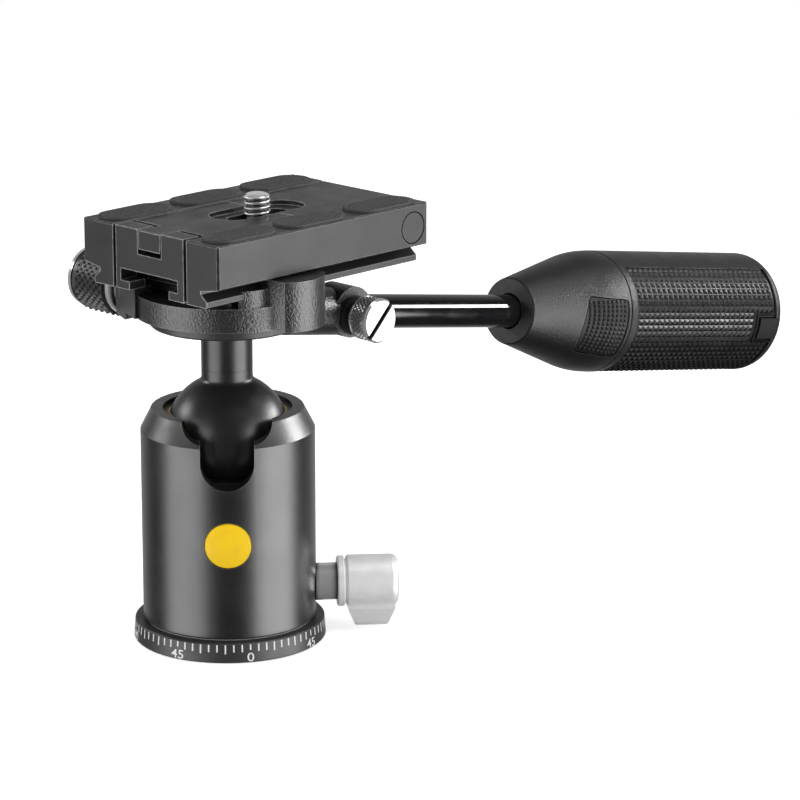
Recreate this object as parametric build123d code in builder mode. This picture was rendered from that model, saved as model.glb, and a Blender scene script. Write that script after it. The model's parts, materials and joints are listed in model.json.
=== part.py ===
from build123d import *
import os
from math import cos, radians, sin

# Tripod ball head with a twist-grip handle, a quick-release clamp and a phone-clamp plate.
# Origin: centre of the base's underside. +Z up, +X along the plate and handle, +Y towards the clamp knob.
# All sizes in millimetres.

# ---------------------------------------------------------------- driving dimensions
running = 0.05  # radial clearance of a turning or sliding fit
snug = 0.02  # radial clearance of a fit inside one body

# base
base_radius = 22.75
base_top_radius = 22.45
base_height = 4.7
base_recess_radius = 14.0
base_recess = 0.5
spindle_radius = 9.0
spindle_flange_radius = 13.0
spindle_flange_z = 2.5
bush_radius = 6.5
bush_top = 11.8
tripod_thread_radius = 9.525 / 2  # 3/8"-16
spindle_top = 17.1

# housing
housing_radius = 20.5
housing_foot = 5.0
housing_shoulder = 50.85
housing_top = 55.88
housing_rim_radius = 17.94
housing_bore = 16.2
housing_mouth = 15.2
lip_z = 54.9
carrier_top = 16.7
notch_azimuth = -133.8
notch_half_width = 6.25
notch_centre_z = 47.2
notch_flare = 4.2
badge_radius = 5.4
badge_z = 27.8

# pan lock
pan_azimuth = -41.0
pan_z = 12.2

# ball
ball_z = 49.2
ball_radius = 14.65
socket_radius = 14.70
neck_radius = 6.03
neck_top = 65.4
ball_bore = 4.02
seat_top = 41.6
seat_bottom = 31.0
liner_bottom = 49.6

# platform
flange_radius = 18.0
flange_bottom = 76.0
deck_radius = 21.4
deck_bottom = 78.7
deck_top = 84.3
plate_seat = 86.21
jaw_flat_y = 16.0
horn_y = 9.5
clamp_x = -8.0
clamp_z = 82.4
bolt_radius = 1.95
pin_x = (0.0, 11.5)
pin_z = 81.3

# handle: its axis leaves the middle of the platform and falls away along +X
handle_z = 78.78
handle_drop = 10.03
rod_radius = 4.15
drive_radius = 1.5
rod_start = 22.5
boss_start = 19.0
boss_end = 42.5
cone_start = 98.5
cone_end = 128.2
grip_start = 128.45
grip_end = 191.9
grip_radius = 15.65
cover_edge = 33.8  # degrees from the top of the grip to the edge of its rubber cover
thumbscrew_s = 37.07

# plate
plate_y = 1.08
plate_near = -22.75
plate_far = 45.05
plate_half_width = 22.85
plate_bottom = 86.26
plate_top = 101.1
rail_inner = 12.41
dovetail_half_width = 19.0
dovetail_neck = 17.0
dovetail_shoulder_z = 87.7
dovetail_neck_z = 89.3
block_root_z = 90.0
block_bottom = 90.95
floor_top = 89.6
pivot_x = 39.95
pivot_z = 95.6
screw_x = 11.2
camera_thread_radius = 6.35 / 2  # 1/4"-20
screw_tip = 105.15
pad_x = (-11.2, 11.1, 33.7)

# ---------------------------------------------------------------- planes and axes
notch_dir = Vector(cos(radians(notch_azimuth)), sin(radians(notch_azimuth)), 0)
pan_dir = Vector(cos(radians(pan_azimuth)), sin(radians(pan_azimuth)), 0)
handle_dir = Vector(cos(radians(handle_drop)), 0, -sin(radians(handle_drop)))
handle_up = Vector(sin(radians(handle_drop)), 0, cos(radians(handle_drop)))
handle_origin = Vector(0, 0, handle_z)
handle_axis = Axis(handle_origin, handle_dir)
handle_plane = Plane(origin=handle_origin, x_dir=handle_dir, z_dir=(0, -1, 0))
pan_axis = Axis((0, 0, pan_z), pan_dir)
pan_plane = Plane(origin=(0, 0, pan_z), x_dir=pan_dir, z_dir=pan_dir.cross(Vector(0, 0, 1)))
badge_plane = Plane(origin=(0, 0, badge_z), x_dir=notch_dir, z_dir=notch_dir.cross(Vector(0, 0, 1)))
notch_plane = Plane(origin=(0, 0, 0), x_dir=Vector(0, 0, 1).cross(notch_dir), z_dir=notch_dir)
clamp_axis = Axis((clamp_x, 0, clamp_z), (0, 1, 0))
clamp_plane = Plane(origin=(clamp_x, 0, clamp_z), x_dir=(0, 1, 0), z_dir=(1, 0, 0))
thumb_origin = handle_origin + handle_dir * thumbscrew_s
thumb_axis = Axis(thumb_origin, (0, -1, 0))
thumb_plane = Plane(origin=thumb_origin, x_dir=(0, -1, 0), z_dir=(-1, 0, 0))


def turned(plane, axis, *outline, mode=Mode.ADD, arc=360.0):
    """Turn a closed outline of (along, radius) or (radius, height) points about an axis."""
    with BuildSketch(plane) as section:
        with BuildLine():
            Polyline(*outline, close=True)
        make_face()
    revolve(section.sketch, axis=axis, revolution_arc=arc, mode=mode)


def bar(plane, radius, start, end, mode=Mode.ADD):
    """Round bar along a plane's x direction, from start to end."""
    across = Plane(origin=plane.origin + plane.x_dir * start, z_dir=plane.x_dir)
    with BuildSketch(across) as section:
        Circle(radius)
    extrude(section.sketch, amount=end - start, mode=mode)


def block(x, y, z, mode=Mode.ADD):
    """Block between two corners given as (low, high) pairs."""
    with Locations(((x[0] + x[1]) / 2, (y[0] + y[1]) / 2, (z[0] + z[1]) / 2)):
        Box(x[1] - x[0], y[1] - y[0], z[1] - z[0], mode=mode)


os.makedirs("parts", exist_ok=True)

# ---------------------------------------------------------------- base
# Disc that sits on the tripod: only its outer ring bears, the middle is relieved.
base_hole_radius = spindle_radius
screw_circle = 11.0
with BuildPart() as base_plate:
    turned(
        Plane.XZ, Axis.Z,
        (base_hole_radius, base_recess), (base_recess_radius, base_recess), (base_recess_radius, 0),
        (base_radius - 0.3, 0), (base_radius, 0.3), (base_top_radius, base_height - 0.25),
        (base_top_radius - 0.25, base_height), (spindle_flange_radius + snug, base_height),
        (spindle_flange_radius + snug, spindle_flange_z), (base_hole_radius, spindle_flange_z),
    )
    with BuildSketch(Plane.XY):
        with PolarLocations(screw_circle, 3, start_angle=90):
            Circle(1.3)
    extrude(amount=spindle_flange_z, mode=Mode.SUBTRACT)
base_plate.part.label = "base_plate"
export_step(base_plate.part, "parts/base_plate.step")

# Spindle that the housing turns on, with the groove that the pan lock presses into.
groove_half = 1.6
groove_depth = 1.0
with BuildPart() as pan_spindle:
    turned(
        Plane.XZ, Axis.Z,
        (0, bush_top + snug), (bush_radius, bush_top + snug), (bush_radius, 0),
        (spindle_radius - snug, 0), (spindle_radius - snug, spindle_flange_z),
        (spindle_flange_radius, spindle_flange_z), (spindle_flange_radius, base_height),
        (spindle_radius, base_height), (spindle_radius, pan_z - groove_half),
        (spindle_radius - groove_depth, pan_z - groove_half + groove_depth),
        (spindle_radius - groove_depth, pan_z + groove_half - groove_depth),
        (spindle_radius, pan_z + groove_half), (spindle_radius, spindle_top), (0, spindle_top),
    )
    with BuildSketch(Plane.XY.offset(13.4)):
        Circle(2.0 + snug)
    extrude(amount=spindle_top - 13.4, mode=Mode.SUBTRACT)
    with BuildSketch(Plane.XY.offset(spindle_flange_z)):
        with PolarLocations(screw_circle, 3, start_angle=90):
            Circle(1.0)
    extrude(amount=1.9, mode=Mode.SUBTRACT)
pan_spindle.part.label = "pan_spindle"
export_step(pan_spindle.part, "parts/pan_spindle.step")

# Steel bush with the tripod thread.
with BuildPart() as thread_bush:
    turned(
        Plane.XZ, Axis.Z,
        (tripod_thread_radius, 0), (bush_radius - snug, 0),
        (bush_radius - snug, bush_top), (tripod_thread_radius, bush_top),
    )
thread_bush.part.label = "thread_bush"
export_step(thread_bush.part, "parts/thread_bush.step")

# Pan-head screws that hold the spindle flange from below.
with BuildPart() as base_screws:
    with PolarLocations(screw_circle, 3, start_angle=90):
        Cylinder(1.0 - snug, 3.7, align=(Align.CENTER, Align.CENTER, Align.MIN))
    with BuildSketch(Plane.XY.offset(0.05)):
        with PolarLocations(screw_circle, 3, start_angle=90):
            Circle(1.9)
    extrude(amount=base_recess - 0.05)
    with BuildSketch(Plane.XY.offset(-0.1)):
        Circle(base_radius)
    extrude(amount=0.15, mode=Mode.SUBTRACT)
base_screws.part.label = "base_screws"
export_step(base_screws.part, "parts/base_screws.step")

with BuildPart() as thrust_washer:
    with BuildSketch(Plane.XY.offset(base_height)):
        Circle(19.8)
        Circle(spindle_radius + 0.2, mode=Mode.SUBTRACT)
    extrude(amount=housing_foot - base_height)
thrust_washer.part.label = "thrust_washer"
export_step(thrust_washer.part, "parts/thrust_washer.step")

with BuildPart() as upper_washer:
    with BuildSketch(Plane.XY.offset(carrier_top)):
        Circle(11.6)
        Circle(spindle_radius + 0.2, mode=Mode.SUBTRACT)
    extrude(amount=spindle_top - carrier_top)
upper_washer.part.label = "upper_washer"
export_step(upper_washer.part, "parts/upper_washer.step")

retaining_top = spindle_top + 1.6
with BuildPart() as retaining_ring:
    with BuildSketch(Plane.XY.offset(spindle_top)):
        Circle(11.8)
        Circle(2.0 + snug, mode=Mode.SUBTRACT)
    extrude(amount=retaining_top - spindle_top)
retaining_ring.part.label = "retaining_ring"
export_step(retaining_ring.part, "parts/retaining_ring.step")

with BuildPart() as spindle_screw:
    turned(
        Plane.XZ, Axis.Z,
        (0, 13.5), (2.0, 13.5), (2.0, retaining_top), (3.8, retaining_top), (3.8, retaining_top + 1.7),
        (3.3, retaining_top + 2.2), (0, retaining_top + 2.2),
    )
    with BuildSketch(Plane.XY.offset(retaining_top + 1.2)):
        RegularPolygon(1.5, 6)
    extrude(amount=1.2, mode=Mode.SUBTRACT)
spindle_screw.part.label = "spindle_screw"
export_step(spindle_screw.part, "parts/spindle_screw.step")

# ---------------------------------------------------------------- housing
shoe_radius = 3.2
spot_face = 19.9  # distance of the pan knob's spot face from the axis
with BuildPart() as housing:
    turned(
        Plane.XZ, Axis.Z,
        (housing_bore, housing_foot), (housing_radius - 0.4, housing_foot),
        (housing_radius, housing_foot + 0.4), (housing_radius, housing_shoulder),
        (housing_rim_radius, housing_top), (housing_mouth, housing_top), (housing_mouth, lip_z),
        (housing_bore, lip_z),
    )
    # Drop notch: straight walls with a round bottom and a mouth that flares at the rim.
    with BuildSketch(notch_plane.offset(10)):
        with BuildLine():
            flare_x = notch_half_width + notch_flare
            flare_z = housing_top - notch_flare
            Line((-notch_half_width, notch_centre_z), (-notch_half_width, flare_z))
            RadiusArc((-notch_half_width, flare_z), (-flare_x, housing_top), notch_flare)
            Line((-flare_x, housing_top), (-flare_x, housing_top + 1))
            Line((-flare_x, housing_top + 1), (flare_x, housing_top + 1))
            Line((flare_x, housing_top + 1), (flare_x, housing_top))
            RadiusArc((flare_x, housing_top), (notch_half_width, flare_z), notch_flare)
            Line((notch_half_width, flare_z), (notch_half_width, notch_centre_z))
            ThreePointArc(
                (notch_half_width, notch_centre_z), (0, notch_centre_z - notch_half_width),
                (-notch_half_width, notch_centre_z),
            )
        make_face()
    extrude(amount=15, mode=Mode.SUBTRACT)
    bar(pan_plane, 2.5 + running, 14, 22, mode=Mode.SUBTRACT)
    bar(pan_plane, 5.3, spot_face, 22, mode=Mode.SUBTRACT)
    bar(badge_plane, badge_radius + 0.15, 19.3, 22, mode=Mode.SUBTRACT)
housing.part.label = "housing"
export_step(housing.part, "parts/housing.step")

# Floor of the housing, which turns on the spindle and guides the pan lock's shoe.
with BuildPart() as pan_carrier:
    turned(
        Plane.XZ, Axis.Z,
        (spindle_radius + running, housing_foot), (housing_bore - snug, housing_foot),
        (housing_bore - snug, carrier_top), (spindle_radius + running, carrier_top),
    )
    bar(pan_plane, shoe_radius + running, 6, 15.6, mode=Mode.SUBTRACT)
    bar(pan_plane, 2.5 + running, 6, 18, mode=Mode.SUBTRACT)
pan_carrier.part.label = "pan_carrier"
export_step(pan_carrier.part, "parts/pan_carrier.step")

adjuster_bottom = 21.2
adjuster_top = 24.2
with BuildPart() as adjuster_ring:
    turned(
        Plane.XZ, Axis.Z,
        (10.5, adjuster_bottom), (housing_bore - snug, adjuster_bottom),
        (housing_bore - snug, adjuster_top), (10.5, adjuster_top),
    )
    with BuildSketch(Plane.XY.offset(adjuster_bottom)):
        with PolarLocations(10.5, 4):
            Rectangle(4, 2.4)
    extrude(amount=1.5, mode=Mode.SUBTRACT)
adjuster_ring.part.label = "adjuster_ring"
export_step(adjuster_ring.part, "parts/adjuster_ring.step")

# Four conical springs, stacked in opposite pairs, press the lower seat against the ball.
spring_pitch = (seat_bottom - adjuster_top) / 4
with BuildPart() as disc_springs:
    for number in range(4):
        low = adjuster_top + number * spring_pitch
        rise = spring_pitch - 0.75
        inner, outer = (low + rise, low) if number % 2 == 0 else (low, low + rise)
        turned(
            Plane.XZ, Axis.Z,
            (9.6, inner), (15.6, outer), (15.6, outer + 0.7), (9.6, inner + 0.7),
        )
disc_springs.part.label = "disc_springs"
export_step(disc_springs.part, "parts/disc_springs.step")

# Lower seat: a bowl of the socket's radius.
with BuildPart() as lower_seat:
    with BuildSketch(Plane.XY.offset(seat_bottom)):
        Circle(housing_bore - snug)
    extrude(amount=seat_top - seat_bottom)
    with Locations((0, 0, ball_z)):
        Sphere(socket_radius, mode=Mode.SUBTRACT)
lower_seat.part.label = "lower_seat"
export_step(lower_seat.part, "parts/lower_seat.step")

# Liner ring: the upper half of the socket, open at the notch.
with BuildPart() as liner_ring:
    with BuildSketch(Plane.XY.offset(liner_bottom)):
        Circle(housing_bore - snug)
    extrude(amount=lip_z - liner_bottom)
    with Locations((0, 0, ball_z)):
        Sphere(socket_radius, mode=Mode.SUBTRACT)
    with BuildSketch(notch_plane.offset(4)):
        with Locations((0, ball_z + 3)):
            Rectangle(2 * notch_half_width + 9.6, 14)
    extrude(amount=16, mode=Mode.SUBTRACT)
liner_ring.part.label = "liner_ring"
export_step(liner_ring.part, "parts/liner_ring.step")

badge_crown = 21.0
dome_radius = 19.8
with BuildPart() as housing_badge:
    bar(badge_plane, badge_radius, 19.35, 22)
    with Locations(badge_plane.origin + notch_dir * (badge_crown - dome_radius)):
        Sphere(dome_radius, mode=Mode.INTERSECT)
housing_badge.part.label = "housing_badge"
export_step(housing_badge.part, "parts/housing_badge.step")

# ---------------------------------------------------------------- pan lock
shoe_end = 15.0
with BuildPart() as pan_brake_shoe:
    turned(
        pan_plane, pan_axis,
        (8.1, 0), (8.1, 0.5), (9.3, 1.7), (9.3, shoe_radius), (shoe_end, shoe_radius), (shoe_end, 0),
    )
pan_brake_shoe.part.label = "pan_brake_shoe"
export_step(pan_brake_shoe.part, "parts/pan_brake_shoe.step")

knob_root = 27.2
knob_end = 40.0
knob_radius = 6.2
with BuildPart() as pan_knob_shaft:
    turned(
        pan_plane, pan_axis,
        (shoe_end, 0), (shoe_end, 2.5), (20.05, 2.5), (20.05, 4.2), (20.3, 4.45), (25.5, 4.45),
        (25.5, 5.7), (25.8, 6.0), (knob_root - 0.3, 6.0), (knob_root, 5.7), (knob_root, 3.0),
        (36, 3.0), (36, 0),
    )
pan_knob_shaft.part.label = "pan_knob_shaft"
export_step(pan_knob_shaft.part, "parts/pan_knob_shaft.step")

wing_depth = 4.6
wing_plane = Plane(origin=(0, 0, pan_z), x_dir=Vector(0, 0, 1).cross(pan_dir), z_dir=pan_dir)
with BuildPart() as pan_knob:
    with BuildSketch(pan_plane):
        with BuildLine():
            Polyline(
                (36 + snug, 0), (36 + snug, 3 + snug), (knob_root, 3 + snug), (knob_root, 5.3),
                (knob_root + 0.5, 5.3), (knob_root + 0.5, knob_radius - 0.3),
                (knob_root + 0.8, knob_radius), (knob_end - 1.6, knob_radius),
            )
            ThreePointArc((knob_end - 1.6, knob_radius), (knob_end - 0.5, 5.7), (knob_end, 4.5))
            Polyline((knob_end, 4.5), (knob_end, 0), (36 + snug, 0))
        make_face()
    revolve(axis=pan_axis)
    # Wing: a flat tab under the barrel, thinner and shorter towards its edge.
    wing_low = -(knob_radius + wing_depth)
    with BuildSketch(wing_plane.offset(27.9)) as wing_section:
        with BuildLine():
            Polyline(
                (-3.4, -4.5), (-3.4, -knob_radius), (-1.9, wing_low + 0.9), (-1.2, wing_low),
                (1.2, wing_low), (1.9, wing_low + 0.9), (3.4, -knob_radius), (3.4, -4.5), close=True,
            )
        make_face()
    with BuildPart(mode=Mode.PRIVATE) as wing:
        extrude(wing_section.sketch, amount=11.3)
        with BuildSketch(pan_plane) as wing_side:
            with BuildLine():
                Polyline(
                    (27.9, -4.5), (27.9, -knob_radius), (29.6, wing_low + 0.4), (30.0, wing_low),
                    (37.2, wing_low), (37.6, wing_low + 0.4), (39.2, -knob_radius), (39.2, -4.5), close=True,
                )
            make_face()
        extrude(wing_side.sketch, amount=5, both=True, mode=Mode.INTERSECT)
    add(wing.part)
pan_knob.part.label = "pan_knob"
export_step(pan_knob.part, "parts/pan_knob.step")

# ---------------------------------------------------------------- ball
shoe_top = 43.4
with BuildPart() as ball:
    with Locations((0, 0, ball_z)):
        Sphere(ball_radius)
    with BuildSketch(Plane.XY.offset(ball_z)):
        Circle(neck_radius)
    extrude(amount=neck_top - ball_z)
    fillet(ball.edges().filter_by(GeomType.CIRCLE).group_by(Axis.Z)[-2], 1.6)
    with BuildSketch(Plane.XY.offset(ball_z - ball_radius - 1)):
        Circle(ball_bore)
    extrude(amount=neck_top - ball_z + ball_radius + 2, mode=Mode.SUBTRACT)
ball.part.label = "ball"
export_step(ball.part, "parts/ball.step")

# Brake shoe at the bottom of the ball, which the push pin presses into the seat.
with BuildPart() as brake_shoe:
    with BuildSketch(Plane.XY.offset(ball_z - ball_radius - 1)):
        Circle(ball_bore - 0.07)
    extrude(amount=shoe_top - ball_z + ball_radius + 1)
    with Locations((0, 0, ball_z)):
        Sphere(socket_radius - 0.01, mode=Mode.INTERSECT)
brake_shoe.part.label = "brake_shoe"
export_step(brake_shoe.part, "parts/brake_shoe.step")

# ---------------------------------------------------------------- platform
pin_radius = 1.5
stem_bottom = 44.6
with BuildPart() as stem:
    turned(
        Plane.XZ, Axis.Z,
        (pin_radius + 0.1, stem_bottom), (ball_bore - 0.07, stem_bottom),
        (ball_bore - 0.07, neck_top + 0.05), (neck_radius, neck_top + 0.05),
        (neck_radius, flange_bottom), (pin_radius + 0.1, flange_bottom),
    )
stem.part.label = "stem"
export_step(stem.part, "parts/stem.step")

# Disc under the deck, slotted for the handle boss and grooved for the drive rod.
deck_screw_circle = 12.5
deck_screw_angles = (60, 180, 300)
grub_dir = Vector(cos(radians(-130)), sin(radians(-130)), 0)
grub_plane = Plane(origin=(0, 0, 77.2), x_dir=grub_dir, z_dir=(0, 0, 1))
with BuildPart() as flange_disc:
    turned(
        Plane.XZ, Axis.Z,
        (pin_radius + 0.1, flange_bottom), (flange_radius - 0.4, flange_bottom),
        (flange_radius, flange_bottom + 0.4), (flange_radius, deck_bottom - 0.3),
        (flange_radius - 0.3, deck_bottom), (pin_radius + 0.1, deck_bottom),
    )
    block((-20, 20), (jaw_flat_y, 20), (flange_bottom - 1, deck_bottom + 1), mode=Mode.SUBTRACT)
    block((10, 20), (-7.6, 7.6), (flange_bottom - 1, deck_bottom + 1), mode=Mode.SUBTRACT)
    block((4.5, 11), (-2.8, 2.8), (flange_bottom - 1, deck_bottom + 1), mode=Mode.SUBTRACT)
    block((-2, 5), (-1.7, 1.7), (flange_bottom + 0.3, deck_bottom + 1), mode=Mode.SUBTRACT)
    with BuildSketch(Plane.XY.offset(flange_bottom)):
        for angle in deck_screw_angles:
            with PolarLocations(deck_screw_circle, 1, start_angle=angle):
                Circle(1.25 + snug)
    extrude(amount=deck_bottom - flange_bottom, mode=Mode.SUBTRACT)
    with BuildSketch(Plane.XY.offset(flange_bottom)):
        for angle in deck_screw_angles:
            with PolarLocations(deck_screw_circle, 1, start_angle=angle):
                Circle(2.4)
    extrude(amount=1.4, mode=Mode.SUBTRACT)
    bar(grub_plane, 0.8, 13, 19, mode=Mode.SUBTRACT)
flange_disc.part.label = "flange_disc"
export_step(flange_disc.part, "parts/flange_disc.step")

with BuildPart() as deck_screws:
    for angle in deck_screw_angles:
        with PolarLocations(deck_screw_circle, 1, start_angle=angle):
            with Locations((0, 0, flange_bottom + 0.1)):
                Cylinder(2.3, 1.3, align=(Align.CENTER, Align.CENTER, Align.MIN))
            with Locations((0, 0, flange_bottom + 1.0)):
                Cylinder(1.25, 5.6, align=(Align.CENTER, Align.CENTER, Align.MIN))
deck_screws.part.label = "deck_screws"
export_step(deck_screws.part, "parts/deck_screws.step")

with BuildPart() as flange_grub_screw:
    bar(grub_plane, 0.78, 13.1, 17.9)
flange_grub_screw.part.label = "flange_grub_screw"
export_step(flange_grub_screw.part, "parts/flange_grub_screw.step")

# Clamp body: the round deck, the boss for the handle and the fixed jaw, in one casting.
jaw_wall = dovetail_half_width + 0.13  # distances from the plate's centre line
jaw_lip = dovetail_neck + 0.25
plate_slope = (block_bottom - block_root_z) / (plate_half_width - dovetail_neck)


def under_plate(distance):
    """Height of a jaw's top face under the plate at a distance from its centre line."""
    return block_root_z - 0.15 + (distance - dovetail_neck) * plate_slope


lobe_top = 90.4
lobe_edge = plate_half_width + 0.35
boss_radius = 5.75
lock_face = 5.2
with BuildPart() as clamp_body:
    with BuildSketch(Plane.XY.offset(deck_bottom)):
        Circle(deck_radius)
    extrude(amount=deck_top - deck_bottom)
    # Fixed jaw: a low lobe that follows the deck, then a step out to a tall convex lobe.
    with BuildSketch(Plane.XY.offset(deck_bottom)):
        with BuildLine():
            Polyline((-5.3, -16.5), (-11.7, -16.5), (-11.7, -17.6))
            ThreePointArc((-11.7, -17.6), (-8.6, -19.2), (-5.3, -19.6))
            Line((-5.3, -19.6), (-5.3, -16.5))
        make_face()
    extrude(amount=88.3 - deck_bottom)
    with BuildSketch(Plane.XY.offset(deck_bottom)):
        with BuildLine():
            Polyline((9.7, -14), (-5.4, -14), (-5.4, -19.3), (-4.9, -24.7))
            ThreePointArc((-4.9, -24.7), (1.4, -27.1), (8.7, -23.9))
            Polyline((8.7, -23.9), (9.5, -22.9), (9.7, -14))
        make_face()
    extrude(amount=lobe_top - deck_bottom)
    with BuildSketch(Plane(origin=(-12, plate_y, 0), x_dir=(0, -1, 0), z_dir=(-1, 0, 0))) as plate_space:
        with BuildLine():
            Polyline(
                (0, plate_seat), (jaw_wall, plate_seat), (jaw_wall, dovetail_shoulder_z + 0.02),
                (jaw_lip, under_plate(jaw_lip) - 0.4), (jaw_lip, under_plate(jaw_lip)),
                (lobe_edge, under_plate(lobe_edge)), (lobe_edge, lobe_top + 1), (0, lobe_top + 1), close=True,
            )
        make_face()
    extrude(plate_space.sketch, amount=40, both=True, mode=Mode.SUBTRACT)
    # Handle boss and the web that ties it to the deck.
    turned(
        handle_plane, handle_axis,
        (boss_start, 0), (boss_start, boss_radius), (boss_end - 0.5, boss_radius),
        (boss_end, boss_radius - 0.5), (boss_end, 0),
    )
    # Round lug on the boss for the handle's lock screw.
    lug_plane = Plane(origin=thumb_origin + Vector(0, 0, 0.6), x_dir=(0, -1, 0), z_dir=(-1, 0, 0))
    bar(lug_plane, 6.2, -3, lock_face)
    block((10.4, 21.0), (-7.4, 7.4), (flange_bottom + 0.05, deck_bottom + 0.5))
    bar(handle_plane, 2.6, 7.0, boss_start + 1)
    # Rib over the clamp bolt, then the flat and the two steps that the moving jaw straddles.
    block((clamp_x - 3.4, clamp_x + 3.4), (-14, jaw_flat_y), (deck_bottom + 1, 85.6))
    block((-25, 25), (jaw_flat_y, 30), (deck_bottom - 5, deck_top + 8), mode=Mode.SUBTRACT)
    for side in (-1, 1):
        block(
            (19.8 * side - 5.2, 19.8 * side + 5.2), (horn_y - 0.2, 20), (deck_bottom - 1, deck_top + 1),
            mode=Mode.SUBTRACT,
        )
    # Bores: clamp bolt, guide pins with their springs, drive rod, handle rod, push pin.
    bar(clamp_plane, bolt_radius + running, -15, 20, mode=Mode.SUBTRACT)
    for x in pin_x:
        guide = Plane(origin=(x, 0, pin_z), x_dir=(0, 1, 0), z_dir=(1, 0, 0))
        bar(guide, 1.5 + running, 4.5, 20, mode=Mode.SUBTRACT)
        bar(guide, 2.1, 11, 20, mode=Mode.SUBTRACT)
    bar(handle_plane, drive_radius + 0.15, -1.5, rod_start, mode=Mode.SUBTRACT)
    bar(handle_plane, rod_radius + snug, rod_start - 0.1, boss_end + 3, mode=Mode.SUBTRACT)
    with BuildSketch(Plane.XY.offset(deck_bottom - 1)):
        Circle(2.4)
    extrude(amount=3.8, mode=Mode.SUBTRACT)
    for angle in deck_screw_angles:
        with BuildSketch(Plane.XY.offset(deck_bottom - 1)) as tapped:
            with PolarLocations(deck_screw_circle, 1, start_angle=angle):
                Circle(1.25 + snug)
        extrude(tapped.sketch, amount=5, mode=Mode.SUBTRACT)
    # Spot face and tapped hole for the handle's lock screw.
    bar(thumb_plane, 5.1, lock_face, 9, mode=Mode.SUBTRACT)
    bar(thumb_plane, 2.0 + running, 3.5, 9, mode=Mode.SUBTRACT)
clamp_body.part.label = "clamp_body"
export_step(clamp_body.part, "parts/clamp_body.step")

# Springs round the guide pins that push the jaw open.
with BuildPart() as jaw_springs:
    for x in pin_x:
        for turn in range(5):
            with BuildSketch(Plane(origin=(x, 11.35 + turn * 0.98, pin_z), z_dir=(0, 1, 0))) as coil:
                Circle(2.05)
                Circle(1.6, mode=Mode.SUBTRACT)
            extrude(coil.sketch, amount=0.6)
jaw_springs.part.label = "jaw_springs"
export_step(jaw_springs.part, "parts/jaw_springs.step")

with BuildPart() as lock_washer:
    turned(
        thumb_plane, thumb_axis,
        (lock_face, 2.1), (lock_face, 4.8), (6.4, 4.8), (6.7, 4.5), (6.7, 2.1),
    )
lock_washer.part.label = "lock_washer"
export_step(lock_washer.part, "parts/lock_washer.step")

with BuildPart() as rod_lock_pad:
    bar(thumb_plane, 1.95, 4.22, 4.9)
rod_lock_pad.part.label = "rod_lock_pad"
export_step(rod_lock_pad.part, "parts/rod_lock_pad.step")

# Knurled thumbscrew with a coin slot.
screw_face = 14.5
with BuildPart() as thumbscrew:
    turned(
        thumb_plane, thumb_axis,
        (4.9, 0), (4.9, 2.0), (6.8, 2.0), (6.8, 3.5), (8.7, 3.5), (8.7, 4.95), (9.0, 5.25), (9.3, 5.25),
        (9.4, 5.05), (13.5, 5.05), (13.6, 5.4), (14.0, 5.4), (screw_face, 4.9), (screw_face, 0),
    )
    with BuildSketch(Plane(origin=thumb_origin, x_dir=(1, 0, 1), z_dir=(0, -1, 0)).offset(screw_face - 1.3)):
        Rectangle(14, 1.3)
    extrude(amount=3, mode=Mode.SUBTRACT)
thumbscrew.part.label = "thumbscrew"
export_step(thumbscrew.part, "parts/thumbscrew.step")

# ---------------------------------------------------------------- handle
rod_end = 138.0
with BuildPart() as handle_rod:
    turned(
        handle_plane, handle_axis,
        (rod_start, drive_radius + 0.08), (rod_start, rod_radius), (rod_end, rod_radius),
        (rod_end, drive_radius + 0.08),
    )
handle_rod.part.label = "handle_rod"
export_step(handle_rod.part, "parts/handle_rod.step")

# Rod inside the handle: its pointed end presses the push pin down as it moves in.
drive_end = 160.0
with BuildPart() as drive_rod:
    turned(
        handle_plane, handle_axis,
        (0.6, 0), (0.6 + drive_radius, drive_radius), (drive_end, drive_radius), (drive_end, 0),
    )
drive_rod.part.label = "drive_rod"
export_step(drive_rod.part, "parts/drive_rod.step")

push_pin_top = 78.85
with BuildPart() as push_pin:
    turned(
        Plane.XZ, Axis.Z,
        (0, shoe_top + 0.02), (pin_radius, shoe_top + 0.02), (pin_radius, push_pin_top - pin_radius),
        (0, push_pin_top),
    )
push_pin.part.label = "push_pin"
export_step(push_pin.part, "parts/push_pin.step")

# Hollow cone that carries the thumb rest.
pad_depth = 1.2
pad_angle = 98.0
thumb_rest_dir = handle_up * cos(radians(pad_angle)) + Vector(0, -1, 0) * sin(radians(pad_angle))
cone_shoulder = (119.3, 14.35)
cone_crest = (124.0, 15.33)
cone_rim = grip_radius - 0.05


def thumb_outline(margin):
    """Outline of the thumb rest, seen along its own radius, grown or shrunk by a margin."""
    across = Plane(origin=handle_origin, x_dir=handle_dir, z_dir=thumb_rest_dir)
    with BuildSketch(across.offset(5)) as outline:
        with BuildLine():
            Polyline((115.2, 7.5), (127.5, 7.5), (127.2, -8.2), (114.1, -7.4))
            ThreePointArc((114.1, -7.4), (113.4, 0.5), (115.2, 7.5))
        make_face()
        fillet(outline.vertices(), 1.5)
        offset(amount=margin)
    return outline.sketch


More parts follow.
